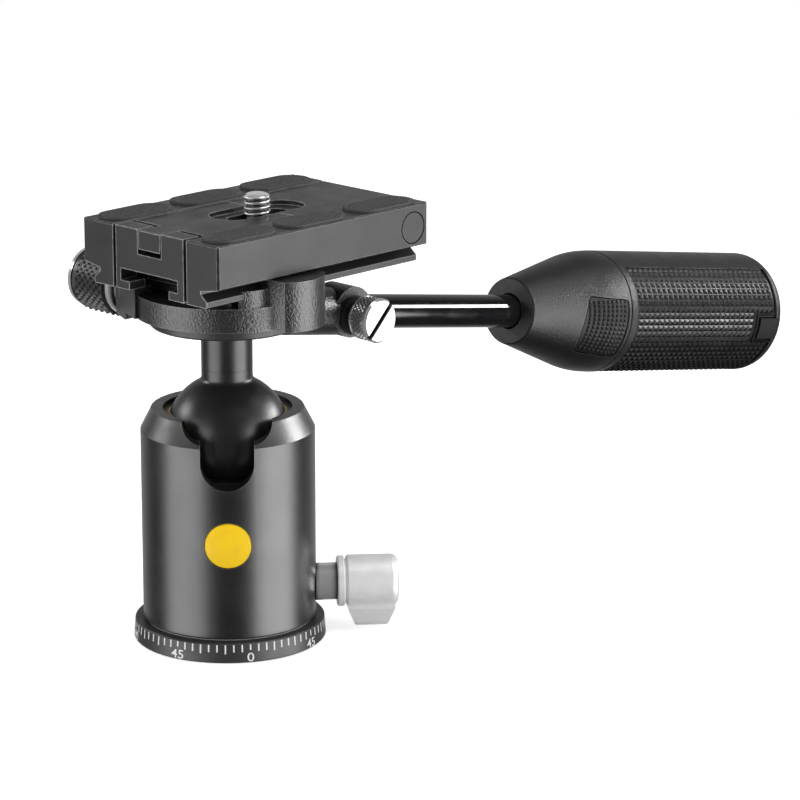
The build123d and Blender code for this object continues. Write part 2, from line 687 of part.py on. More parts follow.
with BuildPart() as grip_cone:
    with BuildSketch(handle_plane):
        with BuildLine():
            Polyline(
                (cone_start, 4.6), (cone_start, 8.1), (cone_start + 0.4, 8.5), cone_shoulder,
            )
            ThreePointArc(cone_shoulder, cone_crest, (cone_end, cone_rim))
            Polyline(
                (cone_end, cone_rim), (cone_end, 13.2), (120.5, 12.3), (106.5, 8.2), (106.5, 6.4), (126, 6.4),
                (126, rod_radius + snug), (104.5, rod_radius + snug), (104.5, 4.6), (cone_start, 4.6),
            )
        make_face()
    revolve(axis=handle_axis)
    with BuildPart(mode=Mode.PRIVATE) as pad_pocket:
        extrude(thumb_outline(0), amount=12)
        turned(
            handle_plane, handle_axis,
            (100, 0), (100, 7.6), (119.3, 14.35 - pad_depth), (124.0, 15.3 - pad_depth),
            (cone_end, cone_rim - pad_depth), (cone_end, 0), mode=Mode.SUBTRACT,
        )
    add(pad_pocket.part, mode=Mode.SUBTRACT)
grip_cone.part.label = "grip_cone"
export_step(grip_cone.part, "parts/grip_cone.step")

with BuildPart() as thumb_pad:
    extrude(thumb_outline(-0.3), amount=12)
    turned(
        handle_plane, handle_axis,
        (100, 0), (100, 8.67), (119.3, 14.2), (124.0, 15.15), (cone_end, cone_rim - 0.15), (cone_end, 0),
        mode=Mode.INTERSECT,
    )
    turned(
        handle_plane, handle_axis,
        (100, 0), (100, 7.62), (119.3, 14.37 - pad_depth), (124.0, 15.32 - pad_depth),
        (cone_end, cone_rim + 0.02 - pad_depth), (cone_end, 0), mode=Mode.SUBTRACT,
    )
thumb_pad.part.label = "thumb_pad"
export_step(thumb_pad.part, "parts/thumb_pad.step")

# Turning sleeve, closed at its far end; a rubber cover lies in a recess round all but its top.
cover_depth = 0.95
cover_radius = grip_radius - 0.4
cover_span = 360 - 2 * cover_edge
cover_dir = handle_up * cos(radians(cover_edge)) + Vector(0, -1, 0) * sin(radians(cover_edge))
cover_plane = Plane(origin=handle_origin, x_dir=handle_dir, z_dir=handle_dir.cross(cover_dir))
cover_start = 130.8
cover_end = 188.2
tab_start = 181.6
tab_angle = 98.0
tab_dir = handle_up * cos(radians(tab_angle)) + Vector(0, -1, 0) * sin(radians(tab_angle))
tab_plane = Plane(origin=handle_origin, x_dir=handle_dir, z_dir=tab_dir)


def tab_space(margin):
    """Block over the grip's end where the tab sits, wider by a margin."""
    with BuildSketch(tab_plane.offset(10)) as outline:
        with Locations(((tab_start + grip_end) / 2, 0)):
            Rectangle(grip_end - tab_start + 2 * margin, 5.8 + 2 * margin)
    return outline.sketch


with BuildPart() as grip_sleeve:
    with BuildSketch(handle_plane):
        with BuildLine():
            Polyline(
                (grip_end - 3.2, grip_radius), (grip_start + 0.3, grip_radius), (grip_start, grip_radius - 0.3),
                (grip_start, 13.2), (grip_end - 3.0, 13.2), (grip_end - 3.0, 0), (grip_end, 0),
                (grip_end, grip_radius - 3.2),
            )
            ThreePointArc(
                (grip_end, grip_radius - 3.2), (grip_end - 0.94, grip_radius - 0.94),
                (grip_end - 3.2, grip_radius),
            )
        make_face()
    revolve(axis=handle_axis)
    turned(
        cover_plane, handle_axis,
        (cover_start, grip_radius - cover_depth), (cover_end, grip_radius - cover_depth),
        (cover_end, grip_radius + 1), (cover_start, grip_radius + 1), mode=Mode.SUBTRACT, arc=cover_span,
    )
    with BuildPart(mode=Mode.PRIVATE) as tab_pocket:
        extrude(tab_space(0), amount=7)
        bar(handle_plane, grip_radius - 1.5, 170, 200, mode=Mode.SUBTRACT)
    add(tab_pocket.part, mode=Mode.SUBTRACT)
grip_sleeve.part.label = "grip_sleeve"
export_step(grip_sleeve.part, "parts/grip_sleeve.step")

with BuildPart() as grip_cover:
    turned(
        cover_plane, handle_axis,
        (cover_start + 0.05, grip_radius - cover_depth + 0.02), (cover_end - 0.05, grip_radius - cover_depth + 0.02),
        (cover_end - 0.05, cover_radius), (cover_start + 0.05, cover_radius), arc=cover_span,
    )
    extrude(tab_space(0.4), amount=9, mode=Mode.SUBTRACT)
grip_cover.part.label = "grip_cover"
export_step(grip_cover.part, "parts/grip_cover.step")

with BuildPart() as end_tab:
    extrude(tab_space(-0.1), amount=7)
    with BuildSketch(handle_plane) as tab_limit:
        with BuildLine():
            Polyline((170, 0), (170, grip_radius), (grip_end - 3.2, grip_radius))
            ThreePointArc(
                (grip_end - 3.2, grip_radius), (grip_end - 0.94, grip_radius - 0.94),
                (grip_end, grip_radius - 3.2),
            )
            Polyline((grip_end, grip_radius - 3.2), (grip_end, 0), (170, 0))
        make_face()
    revolve(tab_limit.sketch, axis=handle_axis, mode=Mode.INTERSECT)
    bar(handle_plane, grip_radius - 1.48, 170, 200, mode=Mode.SUBTRACT)
end_tab.part.label = "end_tab"
export_step(end_tab.part, "parts/end_tab.step")

# Core pressed into the sleeve: it turns on the rod and holds the nut that moves the drive rod.
nut_radius = 5.5
nut_start = 140.0
nut_end = 156.0
with BuildPart() as grip_core:
    turned(
        handle_plane, handle_axis,
        (131, rod_radius + running), (131, 13.18), (134, 13.18), (134, 7.6), (nut_end, 7.6),
        (nut_end, nut_radius + snug), (nut_start, nut_radius + snug), (nut_start, rod_radius + running),
    )
grip_core.part.label = "grip_core"
export_step(grip_core.part, "parts/grip_core.step")

with BuildPart() as drive_nut:
    turned(
        handle_plane, handle_axis,
        (nut_start, drive_radius + running), (nut_start, nut_radius), (nut_end, nut_radius),
        (nut_end, drive_radius + running),
    )
drive_nut.part.label = "drive_nut"
export_step(drive_nut.part, "parts/drive_nut.step")

# ---------------------------------------------------------------- moving jaw
jaw_reach = 20.05
jaw_back = 22.5
jaw_bottom = 76.9
with BuildPart() as clamp_jaw:
    with BuildSketch(Plane(origin=(-jaw_reach, plate_y, 0), x_dir=(0, 1, 0), z_dir=(1, 0, 0))):
        with BuildLine():
            Polyline(
                (jaw_flat_y + 0.2 - plate_y, jaw_bottom), (jaw_flat_y + 0.2 - plate_y, plate_seat),
                (jaw_wall, plate_seat), (jaw_wall, dovetail_shoulder_z + 0.02),
                (jaw_lip, under_plate(jaw_lip) - 0.4), (jaw_lip, under_plate(jaw_lip)),
                (jaw_back - plate_y - 0.3, under_plate(jaw_back - plate_y) - 0.1),
                (jaw_back - plate_y, under_plate(jaw_back - plate_y) - 0.5),
                (jaw_back - plate_y, jaw_bottom + 1.1), (jaw_back - plate_y - 0.3, jaw_bottom + 0.4),
                (jaw_back - plate_y - 1.0, jaw_bottom), close=True,
            )
        make_face()
    extrude(amount=2 * jaw_reach)
    # Horns at both ends run forward along the deck; the ends of the jaw slant with them.
    for side in (-1, 1):
        block((17.8 * side - 3.0, 17.8 * side + 3.0), (horn_y, jaw_flat_y + 0.5), (deck_bottom, plate_seat - 0.2))
    with BuildSketch(Plane.XY.offset(jaw_bottom - 1)) as jaw_outline:
        with BuildLine():
            Polyline(
                (-jaw_reach, horn_y), (-14.6, jaw_back - 0.8), (-13.8, jaw_back + 1), (13.6, jaw_back + 1),
                (14.4, jaw_back - 0.8), (jaw_reach, horn_y), close=True,
            )
        make_face()
    extrude(jaw_outline.sketch, amount=20, mode=Mode.INTERSECT)
    bar(clamp_plane, bolt_radius + running, 10, 30, mode=Mode.SUBTRACT)
    for x in pin_x:
        bar(
            Plane(origin=(x, 0, pin_z), x_dir=(0, 1, 0), z_dir=(1, 0, 0)), 1.5 + snug, 10, jaw_back - 2,
            mode=Mode.SUBTRACT,
        )
clamp_jaw.part.label = "clamp_jaw"
export_step(clamp_jaw.part, "parts/clamp_jaw.step")

with BuildPart() as guide_pins:
    for x in pin_x:
        bar(Plane(origin=(x, 0, pin_z), x_dir=(0, 1, 0), z_dir=(1, 0, 0)), 1.5, 5.2, jaw_back - 2.1)
guide_pins.part.label = "guide_pins"
export_step(guide_pins.part, "parts/guide_pins.step")

# Clamp screw, its shoulder and polished ring, the knurled knob and the ring at its end.
knob_start = 25.6
knob_face = 37.6
clamp_knob_radius = 7.6
with BuildPart() as clamp_bolt:
    bar(clamp_plane, bolt_radius, -14, knob_face - 1)
clamp_bolt.part.label = "clamp_bolt"
export_step(clamp_bolt.part, "parts/clamp_bolt.step")

with BuildPart() as clamp_ring:
    turned(
        clamp_plane, clamp_axis,
        (jaw_back, bolt_radius + snug), (jaw_back, 6.0), (23.8, 6.0), (23.8, 6.9), (24.1, 7.2), (25.3, 7.2),
        (knob_start, 6.9), (knob_start, bolt_radius + snug),
    )
clamp_ring.part.label = "clamp_ring"
export_step(clamp_ring.part, "parts/clamp_ring.step")

with BuildPart() as clamp_knob:
    turned(
        clamp_plane, clamp_axis,
        (knob_start, bolt_radius + snug), (knob_start, 6.9), (knob_start + 0.6, clamp_knob_radius),
        (knob_face - 1.1, clamp_knob_radius), (knob_face, 6.8), (knob_face, 4.5), (knob_face - 1, 4.5),
        (knob_face - 1, bolt_radius + snug),
    )
clamp_knob.part.label = "clamp_knob"
export_step(clamp_knob.part, "parts/clamp_knob.step")

with BuildPart() as knob_end_ring:
    turned(
        clamp_plane, clamp_axis,
        (knob_face - 1, 0), (knob_face - 1, 4.4), (knob_face, 4.4), (knob_face, 7.1),
        (knob_face + 1.0, 7.1), (knob_face + 1.3, 6.8), (knob_face + 1.3, 0),
    )
knob_end_ring.part.label = "knob_end_ring"
export_step(knob_end_ring.part, "parts/knob_end_ring.step")

# ---------------------------------------------------------------- plate
plate_section = Plane(origin=(plate_near, plate_y, 0), x_dir=(0, 1, 0), z_dir=(1, 0, 0))
guide_low = 91.4
guide_high = 95.2
guide_reach = 13.5
guide_far = 8.5
pin_head_radius = 3.77
pin_tip_radius = 2.5
with BuildPart() as plate_frame:
    with BuildSketch(plate_section):
        with BuildLine():
            Polyline(
                (rail_inner, plate_bottom), (dovetail_half_width - 0.25, plate_bottom),
                (dovetail_half_width, plate_bottom + 0.25), (dovetail_half_width, dovetail_shoulder_z),
                (dovetail_neck, dovetail_neck_z), (dovetail_neck, block_root_z),
                (plate_half_width - 0.3, block_bottom), (plate_half_width, block_bottom + 0.3),
                (plate_half_width, plate_top - 0.3), (plate_half_width - 0.3, plate_top),
                (rail_inner + 0.2, plate_top), (rail_inner, plate_top - 0.2), close=True,
            )
        make_face()
        mirror(about=Plane.YZ)
    extrude(amount=plate_far - plate_near)
    block(
        (-12.0, 34.5), (plate_y - rail_inner - 0.5, plate_y + rail_inner + 0.5), (plate_bottom, floor_top)
    )
    # Grooves for the ears of the phone jaw, closed at both ends so that they stop its travel.
    for side in (-1, 1):
        groove_y = plate_y + side * (rail_inner + guide_reach + 0.1) / 2
        groove_half_width = (guide_reach + 0.1 - rail_inner) / 2
        block(
            (-16.1, guide_far + 0.2), (groove_y - groove_half_width, groove_y + groove_half_width),
            (guide_low - 0.1, guide_high + 0.1), mode=Mode.SUBTRACT,
        )
    # Opening under the camera screw.
    with BuildSketch(Plane.XY.offset(plate_bottom)):
        with Locations((screw_x, plate_y)):
            SlotOverall(27, 13)
    extrude(amount=floor_top - plate_bottom, mode=Mode.SUBTRACT)
    pivot_plane = Plane(origin=(pivot_x, plate_y, pivot_z), x_dir=(0, 1, 0), z_dir=(1, 0, 0))
    bar(pivot_plane, pin_head_radius + 0.1, -plate_half_width - 1, -rail_inner - 2, mode=Mode.SUBTRACT)
    bar(pivot_plane, pin_head_radius + 0.1, rail_inner + 2, plate_half_width + 1, mode=Mode.SUBTRACT)
    bar(pivot_plane, pin_tip_radius + snug, -20, 20, mode=Mode.SUBTRACT)
    # Corners of the plate, seen from above, and the bevels of its end faces.
    with BuildSketch(Plane.XY.offset(plate_bottom - 1)) as corners:
        with Locations(((plate_near + plate_far) / 2, plate_y)):
            Rectangle(plate_far - plate_near, 2 * plate_half_width)
        chamfer(corners.vertices(), 0.5)
    extrude(corners.sketch, amount=20, mode=Mode.INTERSECT)
    for end in (plate_near, plate_far):
        top_edges = plate_frame.edges().filter_by(Axis.Y).filter_by_position(Axis.X, end - 0.01, end + 0.01)
        chamfer(top_edges.group_by(Axis.Z)[-1], 0.3)
plate_frame.part.label = "plate_frame"
export_step(plate_frame.part, "parts/plate_frame.step")

# Six rubber pads that stand a little proud of the rails.
pad_proud = 0.55
with BuildPart() as grip_pads:
    with BuildSketch(Plane.XY.offset(plate_top)):
        for x in pad_x:
            with Locations((x, plate_y - 17.45), (x, plate_y + 17.45)):
                RectangleRounded(19.5, 9.3, 4.6)
    extrude(amount=pad_proud)
grip_pads.part.label = "grip_pads"
export_step(grip_pads.part, "parts/grip_pads.step")

with BuildPart() as pivot_pins:
    for side in (-1, 1):
        pin_plane = Plane(origin=(pivot_x, plate_y, pivot_z), x_dir=(0, side, 0), z_dir=(1, 0, 0))
        bar(pin_plane, pin_head_radius, rail_inner + 2.02, plate_half_width - 0.05)
        bar(pin_plane, pin_tip_radius, 9.5, rail_inner + 2.5)
pivot_pins.part.label = "pivot_pins"
export_step(pivot_pins.part, "parts/pivot_pins.step")

# Close-wound springs that draw the phone jaw back in.
with BuildPart() as phone_jaw_springs:
    for side in (-1, 1):
        spring_plane = Plane(origin=(0, plate_y + 9.4 * side, 91.9), x_dir=(1, 0, 0), z_dir=(0, 0, 1))
        bar(spring_plane, 1.3, 0.4, 28)
        for coil in range(9):
            bar(spring_plane, 1.55, 3 + coil * 2.6, 4.4 + coil * 2.6)
        block((28, 30), (plate_y + 9.4 * side - 1, plate_y + 9.4 * side + 1), (floor_top, 92.5))
phone_jaw_springs.part.label = "phone_jaw_springs"
export_step(phone_jaw_springs.part, "parts/phone_jaw_springs.step")

# Phone jaw: the end bar with its accessory slot, and the guide plate that slides between the rails.
jaw_bar_inner = -17.9
with BuildPart() as phone_jaw:
    block((plate_near, jaw_bar_inner), (plate_y - 11.4, plate_y + 11.4), (plate_bottom + 0.04, plate_top))
    block((plate_near - 1, jaw_bar_inner + 1), (plate_y - 3.95, plate_y + 3.95), (95.3, 102), mode=Mode.SUBTRACT)
    block((plate_near - 1, jaw_bar_inner + 1), (plate_y - 9.3, plate_y + 9.9), (88.3, 91.1), mode=Mode.SUBTRACT)
    block((plate_near - 1, jaw_bar_inner + 1), (plate_y - 6.35, plate_y + 6.95), (85, 90), mode=Mode.SUBTRACT)
    block((jaw_bar_inner - 0.1, -1.0), (plate_y - 11.1, plate_y + 11.1), (guide_low, guide_high))
    for side in (-1, 1):
        arm_y = plate_y + 11.65 * side
        ear_y = plate_y + (guide_reach - 1.2) * side
        block((-3.0, guide_far), (arm_y - 0.65, arm_y + 0.65), (guide_low, guide_high))
        block((guide_far - 2.3, guide_far), (ear_y - 1.2, ear_y + 1.2), (guide_low, guide_high))
phone_jaw.part.label = "phone_jaw"
export_step(phone_jaw.part, "parts/phone_jaw.step")

# ---------------------------------------------------------------- folding arm
arm_half_width = 12.1
arm_top = plate_top - 0.2
panel_bottom = 96.5
seam_x = 12.8
seam_gap = 0.12
recess_floor = arm_top - 1.15


def screw_slot():
    """Racetrack recess and the narrower through slot that the camera screw slides in."""
    with BuildSketch(Plane.XY.offset(recess_floor)) as recess:
        with Locations((screw_x, plate_y)):
            SlotOverall(26.5, 11.2)
    extrude(recess.sketch, amount=3, mode=Mode.SUBTRACT)
    with BuildSketch(Plane.XY.offset(panel_bottom - 1)) as slot:
        with Locations((screw_x, plate_y)):
            SlotOverall(17.5, 5.5)
    extrude(slot.sketch, amount=8, mode=Mode.SUBTRACT)


barrel_start = 35.2
with BuildPart() as arm_far_panel:
    with BuildSketch(Plane(origin=(0, plate_y, 0), x_dir=(1, 0, 0), z_dir=(0, -1, 0))):
        with BuildLine():
            Polyline(
                (plate_far, arm_top), (seam_x + seam_gap, arm_top), (seam_x + seam_gap, panel_bottom),
                (34.8, panel_bottom), (barrel_start, 95.2), (barrel_start, 92.3), (36.2, 91.3), (43.0, 91.3),
            )
            ThreePointArc((43.0, 91.3), (44.24, 91.9), (plate_far, 93.2))
            Line((plate_far, 93.2), (plate_far, arm_top))
        make_face()
    extrude(amount=arm_half_width, both=True)
    screw_slot()
    bar(pivot_plane, pin_tip_radius + running, -15, 15, mode=Mode.SUBTRACT)
arm_far_panel.part.label = "arm_far_panel"
export_step(arm_far_panel.part, "parts/arm_far_panel.step")

with BuildPart() as arm_near_panel:
    block((-15.9, seam_x - seam_gap), (plate_y - arm_half_width, plate_y + arm_half_width), (panel_bottom, arm_top))
    block((plate_near, -15.8), (plate_y - 3.6, plate_y + 3.6), (panel_bottom, arm_top))
    screw_slot()
arm_near_panel.part.label = "arm_near_panel"
export_step(arm_near_panel.part, "parts/arm_near_panel.step")

# Steel strips and screws under the seam that join the two panels.
with BuildPart() as arm_links:
    for side in (-1, 1):
        block((6.8, 18.8), (plate_y + 9.4 * side - 1.9, plate_y + 9.4 * side + 1.9), (95.3, panel_bottom))
arm_links.part.label = "arm_links"
export_step(arm_links.part, "parts/arm_links.step")

# Slider under the slot, and the captive camera screw that turns in it on its plain neck.
screw_neck = 2.6
with BuildPart() as screw_slider:
    with BuildSketch(Plane.XY.offset(95.4)):
        with Locations((screw_x, plate_y)):
            RectangleRounded(13, 12.4, 2)
            Circle(screw_neck + running, mode=Mode.SUBTRACT)
    extrude(amount=1.0)
screw_slider.part.label = "screw_slider"
export_step(screw_slider.part, "parts/screw_slider.step")

screw_axis = Axis((screw_x, plate_y, 0), (0, 0, 1))
with BuildPart() as camera_screw:
    turned(
        Plane(origin=(screw_x, plate_y, 0), x_dir=(1, 0, 0), z_dir=(0, -1, 0)), screw_axis,
        (0, 91.2), (5.1, 91.2), (5.4, 91.5), (5.4, 95.3), (screw_neck, 95.3), (screw_neck, 99.9),
        (camera_thread_radius, 99.9), (camera_thread_radius, screw_tip - 0.6),
        (camera_thread_radius - 0.6, screw_tip - 0.2), (0, screw_tip),
    )
    with BuildSketch(Plane.XY.offset(91.2)):
        with Locations((screw_x, plate_y)):
            Rectangle(12, 1.4)
    extrude(amount=1.4, mode=Mode.SUBTRACT)
camera_screw.part.label = "camera_screw"
export_step(camera_screw.part, "parts/camera_screw.step")
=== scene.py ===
"""Dresses the tripod ball head: finishes, fine pieces, light and camera."""

import json
import logging
import math
from dataclasses import dataclass, field
from enum import Enum

import bmesh
import bpy
from mathutils import Matrix, Vector


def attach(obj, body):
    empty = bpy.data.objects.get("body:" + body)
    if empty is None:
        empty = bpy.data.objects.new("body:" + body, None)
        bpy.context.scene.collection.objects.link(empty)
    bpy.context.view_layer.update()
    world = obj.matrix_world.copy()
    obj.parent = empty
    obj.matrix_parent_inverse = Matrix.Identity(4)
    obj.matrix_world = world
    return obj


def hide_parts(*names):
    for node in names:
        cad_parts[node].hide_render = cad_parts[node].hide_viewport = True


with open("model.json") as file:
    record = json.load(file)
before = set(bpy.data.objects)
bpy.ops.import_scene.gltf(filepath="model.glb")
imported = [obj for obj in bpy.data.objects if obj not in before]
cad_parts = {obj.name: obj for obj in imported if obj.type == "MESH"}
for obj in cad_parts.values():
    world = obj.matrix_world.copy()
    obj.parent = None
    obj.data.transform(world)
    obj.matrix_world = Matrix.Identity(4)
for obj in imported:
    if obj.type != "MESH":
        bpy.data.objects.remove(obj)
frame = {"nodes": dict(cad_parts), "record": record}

log = logging.getLogger("ball_head")

MM = 0.001
Rgb = tuple[float, float, float]
Pair = tuple[float, float]
Socket = bpy.types.NodeSocket
WHITE = (1.0, 1.0, 1.0, 1.0)

# Numbers of the Mix node's colour sockets.
MIX_FIRST, MIX_SECOND, MIX_COLOUR = 6, 7, 2

# How the finishes read their noises, paint highlight on corners and paint shade in hollows. Sizes
# in millimetres.
PATCH_BAND = (0.3, 0.7)
SPECK_BAND = (0.58, 0.75)
SPECK_SHARE = 0.8  # of the grain's size
SPECK_TINT = 3.0
CORNER_BAND = (0.97, 0.80)  # cosine between the true face and the rounded one
CORNER_SAMPLES = 6
# Patches that break up the painted highlight on edges.
EDGE_PATCH_SIZE = 1.5
EDGE_PATCH_BAND = (0.3, 0.6)
EDGE_PATCH_LEVELS = (0.45, 1.0)
HOLLOW_SHADE_BAND = (0.55, 0.92)  # share of open sky over a point
HOLLOW_SHADE_SAMPLES = 8
# colour of the painted shade in hollows, as a share of the finish's colour
HOLLOW_SHADE_TINT = 0.04
LEAST_ROUGHNESS = 0.02

# Geometry Nodes patterns.
NO_GAP = 1e6  # further along than any piece reaches
ROUNDING_NUDGE = 0.01  # keeps a whole quotient from falling just short
RIB_SIDES = 8


class Body(str, Enum):
    """Rigid bodies of the head that carry the pieces made here."""

    BASE = "base"
    PAN_KNOB = "pan_knob"
    PLATFORM = "platform"
    THUMBSCREW = "thumbscrew"
    CLAMP_KNOB = "clamp_knob"
    GRIP = "grip"
    PLATE = "plate"
    CAMERA_SCREW = "camera_screw"


class Grain(Enum):
    """How the fine relief of a finish is laid out."""

    CAST = "cast"
    TURNED = "turned"


# ---------------------------------------------------------------- finishes
class NodeSheet:
    """Adds nodes to a tree and joins their sockets."""

    def __init__(self, tree: bpy.types.NodeTree) -> None:
        """Keeps the tree that the nodes go into."""
        self.tree = tree

    def add(self, kind: str, **settings: object) -> bpy.types.Node:
        """Adds one node.

        Args:
            kind: Blender's type name of the node.
            **settings: Properties set on the node.

        Returns:
            The new node.
        """
        node = self.tree.nodes.new(kind)
        for name, value in settings.items():
            setattr(node, name, value)
        return node

    def feed(self, socket: Socket, value: object) -> None:
        """Links a socket to another, or sets it to a plain value.

        Args:
            socket: The input that is fed.
            value: An output socket, or a number, colour or vector.
        """
        if isinstance(value, bpy.types.NodeSocket):
            self.tree.links.new(value, socket)
        else:
            socket.default_value = value

    def calc(self, operation: str, first: object, second: object = 0.0) -> Socket:
        """Adds a Math node.

        Args:
            operation: Blender's name of the operation.
            first: First operand, a socket or a number.
            second: Second operand, a socket or a number.

        Returns:
            The node's output.
        """
        node = self.add("ShaderNodeMath", operation=operation)
        self.feed(node.inputs[0], first)
        self.feed(node.inputs[1], second)
        return node.outputs[0]

    def span(self, value: object, source: Pair, target: Pair = (0.0, 1.0)) -> Socket:
        """Maps a value from one range to another, held inside it.

        Args:
            value: The value to map.
            source: Two incoming values.
            target: What those become.

        Returns:
            The mapped value.
        """
        node = self.add("ShaderNodeMapRange", clamp=True)
        self.feed(node.inputs["Value"], value)
        for name, number in zip(("From Min", "From Max", "To Min", "To Max"), (*source, *target)):
            node.inputs[name].default_value = number
        return node.outputs["Result"]

    def noise(self, vector: object, size_mm: float, detail: float = 2.0) -> Socket:
        """Adds a noise whose features have a real size.

        Args:
            vector: Coordinates in metres.
            size_mm: Size of one feature in millimetres.
            detail: Number of finer octaves.

        Returns:
            The noise's value, from 0 to 1.
        """
        node = self.add("ShaderNodeTexNoise", noise_dimensions="3D")
        self.feed(node.inputs["Vector"], vector)
        node.inputs["Scale"].default_value = 1.0 / (size_mm * MM)
        node.inputs["Detail"].default_value = detail
        return node.outputs["Fac"]

    def blend(self, factor: object, first: object, second: object) -> Socket:
        """Mixes two colours.

        Args:
            factor: 0 gives the first colour and 1 the second.
            first: A colour, or the socket of one.
            second: A colour, or the socket of one.

        Returns:
            The mixed colour.
        """
        node = self.add("ShaderNodeMix", data_type="RGBA")
        self.feed(node.inputs["Factor"], factor)
        self.feed(node.inputs[MIX_FIRST], first)
        self.feed(node.inputs[MIX_SECOND], second)
        return node.outputs[MIX_COLOUR]

    def vector(self, x: object = 0.0, y: object = 0.0, z: object = 0.0) -> Socket:
        """Joins three numbers into a vector.

        Args:
            x: First number, or the socket of one.
            y: Second number, or the socket of one.
            z: Third number, or the socket of one.

        Returns:
            The vector.
        """
        node = self.add("ShaderNodeCombineXYZ")
        for socket, value in zip(node.inputs, (x, y, z)):
            self.feed(socket, value)
        return node.outputs[0]

    def across(self, operation: str, first: object, second: object, result: str) -> Socket:
        """Adds a Vector Math node.

        Args:
            operation: Blender's name of the operation.
            first: First vector, or the socket of one.
            second: Second vector, or the socket of one.
            result: Name of the output that is wanted.

        Returns:
            That output.
        """
        node = self.add("ShaderNodeVectorMath", operation=operation)
        self.feed(node.inputs[0], first)
        self.feed(node.inputs[1], second)
        return node.outputs[result]

    def apart(self, vector: Socket) -> list[Socket]:
        """Takes a vector apart.

        Args:
            vector: The vector's socket.

        Returns:
            Its three numbers.
        """
        node = self.add("ShaderNodeSeparateXYZ")
        self.feed(node.inputs[0], vector)
        return list(node.outputs)


@dataclass(frozen=True)
class Finish:
    """One surface finish: colour, gloss and relief at their real scale.

    Lengths are in millimetres. The relief is cast grain, or the fine rings of a lathe tool.
    """

    title: str
    colour: Rgb
    roughness: float
    metallic: float = 0.0
    specular: float = 0.5
    grain: Grain = Grain.CAST
    grain_size: float = 0.3
    grain_depth: float = 0.01
    mottle: float = 0.12
    mottle_size: float = 7.0
    gloss_spread: float = 0.05
    # The edge fields paint a highlight onto sharp edges (a painted shade where their colour is
    # dark); the hollow field paints shade into slots and valleys within that reach.
    painted_edge_width: float = 0.0
    painted_edge_colour: Rgb = (0.2, 0.2, 0.2)
    dust: float = 0.0
    hollow_shade_reach: float = 0.0

    def material(self) -> bpy.types.Material:
        """Builds the finish as a node material, once.

        Returns:
            The material, or the one already made under the same title.
        """
        known = bpy.data.materials.get(self.title)
        if known is not None:
            return known
        material = bpy.data.materials.new(self.title)
        material.use_nodes = True
        sheet = NodeSheet(material.node_tree)
        sockets = material.node_tree.nodes["Principled BSDF"].inputs
        place = sheet.add("ShaderNodeTexCoord").outputs["Object"]
        patches = sheet.noise(place, self.mottle_size, detail=3.0)
        sheet.feed(sockets["Base Color"], self._colour(sheet, place, patches))
        sheet.feed(sockets["Roughness"], self._gloss(sheet, patches))
        sheet.feed(sockets["Normal"], self._relief(sheet, place))
        sockets["Metallic"].default_value = self.metallic
        sockets["Specular IOR Level"].default_value = self.specular
        return material

    def _tinted(self, factor: float) -> tuple[float, float, float, float]:
        """The finish's colour made lighter or darker by a factor, with alpha."""
        return (*(min(1.0, channel * factor) for channel in self.colour), 1.0)

    def _colour(self, sheet: NodeSheet, place: Socket, patches: Socket) -> Socket:
        """Colours the surface: slow variation, fine specks, a painted highlight on edges (painted
        shade where the edge colour is dark) and painted shade in hollows.

        Args:
            sheet: Where nodes are added.
            place: Object coordinates.
            patches: Slow noise.

        Returns:
            The colour.
        """
        darker, lighter = self._tinted(1.0 - self.mottle), self._tinted(1.0 + self.mottle)
        colour = sheet.blend(sheet.span(patches, PATCH_BAND), darker, lighter)
        if self.dust > 0:
            specks = sheet.noise(place, self.grain_size * SPECK_SHARE, detail=1.0)
            settled = sheet.span(specks, SPECK_BAND, (0.0, self.dust))
            colour = sheet.blend(settled, colour, self._tinted(SPECK_TINT))
        # painted highlight on sharp edges; where the edge colour is dark, as on the badge, painted
        # shade
        if self.painted_edge_width > 0:
            colour = sheet.blend(self._painted_edge_mask(sheet, place), colour, (*self.painted_edge_colour, 1.0))
        # painted shade in slots and in the valleys of threads, knurls and studs
        if self.hollow_shade_reach > 0:
            colour = sheet.blend(self._painted_hollow_shade(sheet), self._tinted(HOLLOW_SHADE_TINT), colour)
        return colour

    def _painted_hollow_shade(self, sheet: NodeSheet) -> Socket:
        """Finds the slots and valleys of threads and knurls, where shade is painted in.

        Args:
            sheet: Where nodes are added.

        Returns:
            0 deep in a hollow and 1 away from it.
        """
        sky = sheet.add("ShaderNodeAmbientOcclusion", samples=HOLLOW_SHADE_SAMPLES)
        sky.inputs["Distance"].default_value = self.hollow_shade_reach * MM
        return sheet.span(sky.outputs["AO"], HOLLOW_SHADE_BAND)

    def _painted_edge_mask(self, sheet: NodeSheet, place: Socket) -> Socket:
        """Finds the sharp edges, where the edge colour is painted in patches: a painted highlight,
        or a painted shade where that colour is dark.

        Args:
            sheet: Where nodes are added.
            place: Object coordinates.

        Returns:
            1 on an edge and 0 away from it.
        """
        rounded = sheet.add("ShaderNodeBevel", samples=CORNER_SAMPLES)
        rounded.inputs["Radius"].default_value = self.painted_edge_width * MM
        true_face = sheet.add("ShaderNodeNewGeometry").outputs["Normal"]
        turn = sheet.across("DOT_PRODUCT", rounded.outputs["Normal"], true_face, "Value")
        # the painted edge colour comes in patches
        patchy = sheet.noise(place, EDGE_PATCH_SIZE, detail=3.0)
        edge_patches = sheet.span(patchy, EDGE_PATCH_BAND, EDGE_PATCH_LEVELS)
        return sheet.calc("MULTIPLY", sheet.span(turn, CORNER_BAND), edge_patches)

    def _gloss(self, sheet: NodeSheet, patches: Socket) -> Socket:
        """Varies the gloss slowly over the surface.

        Args:
            sheet: Where nodes are added.
            patches: Slow noise.

        Returns:
            The roughness.
        """
        low = max(LEAST_ROUGHNESS, self.roughness - self.gloss_spread)
        high = min(1.0, self.roughness + self.gloss_spread)
        return sheet.span(patches, PATCH_BAND, (high, low))

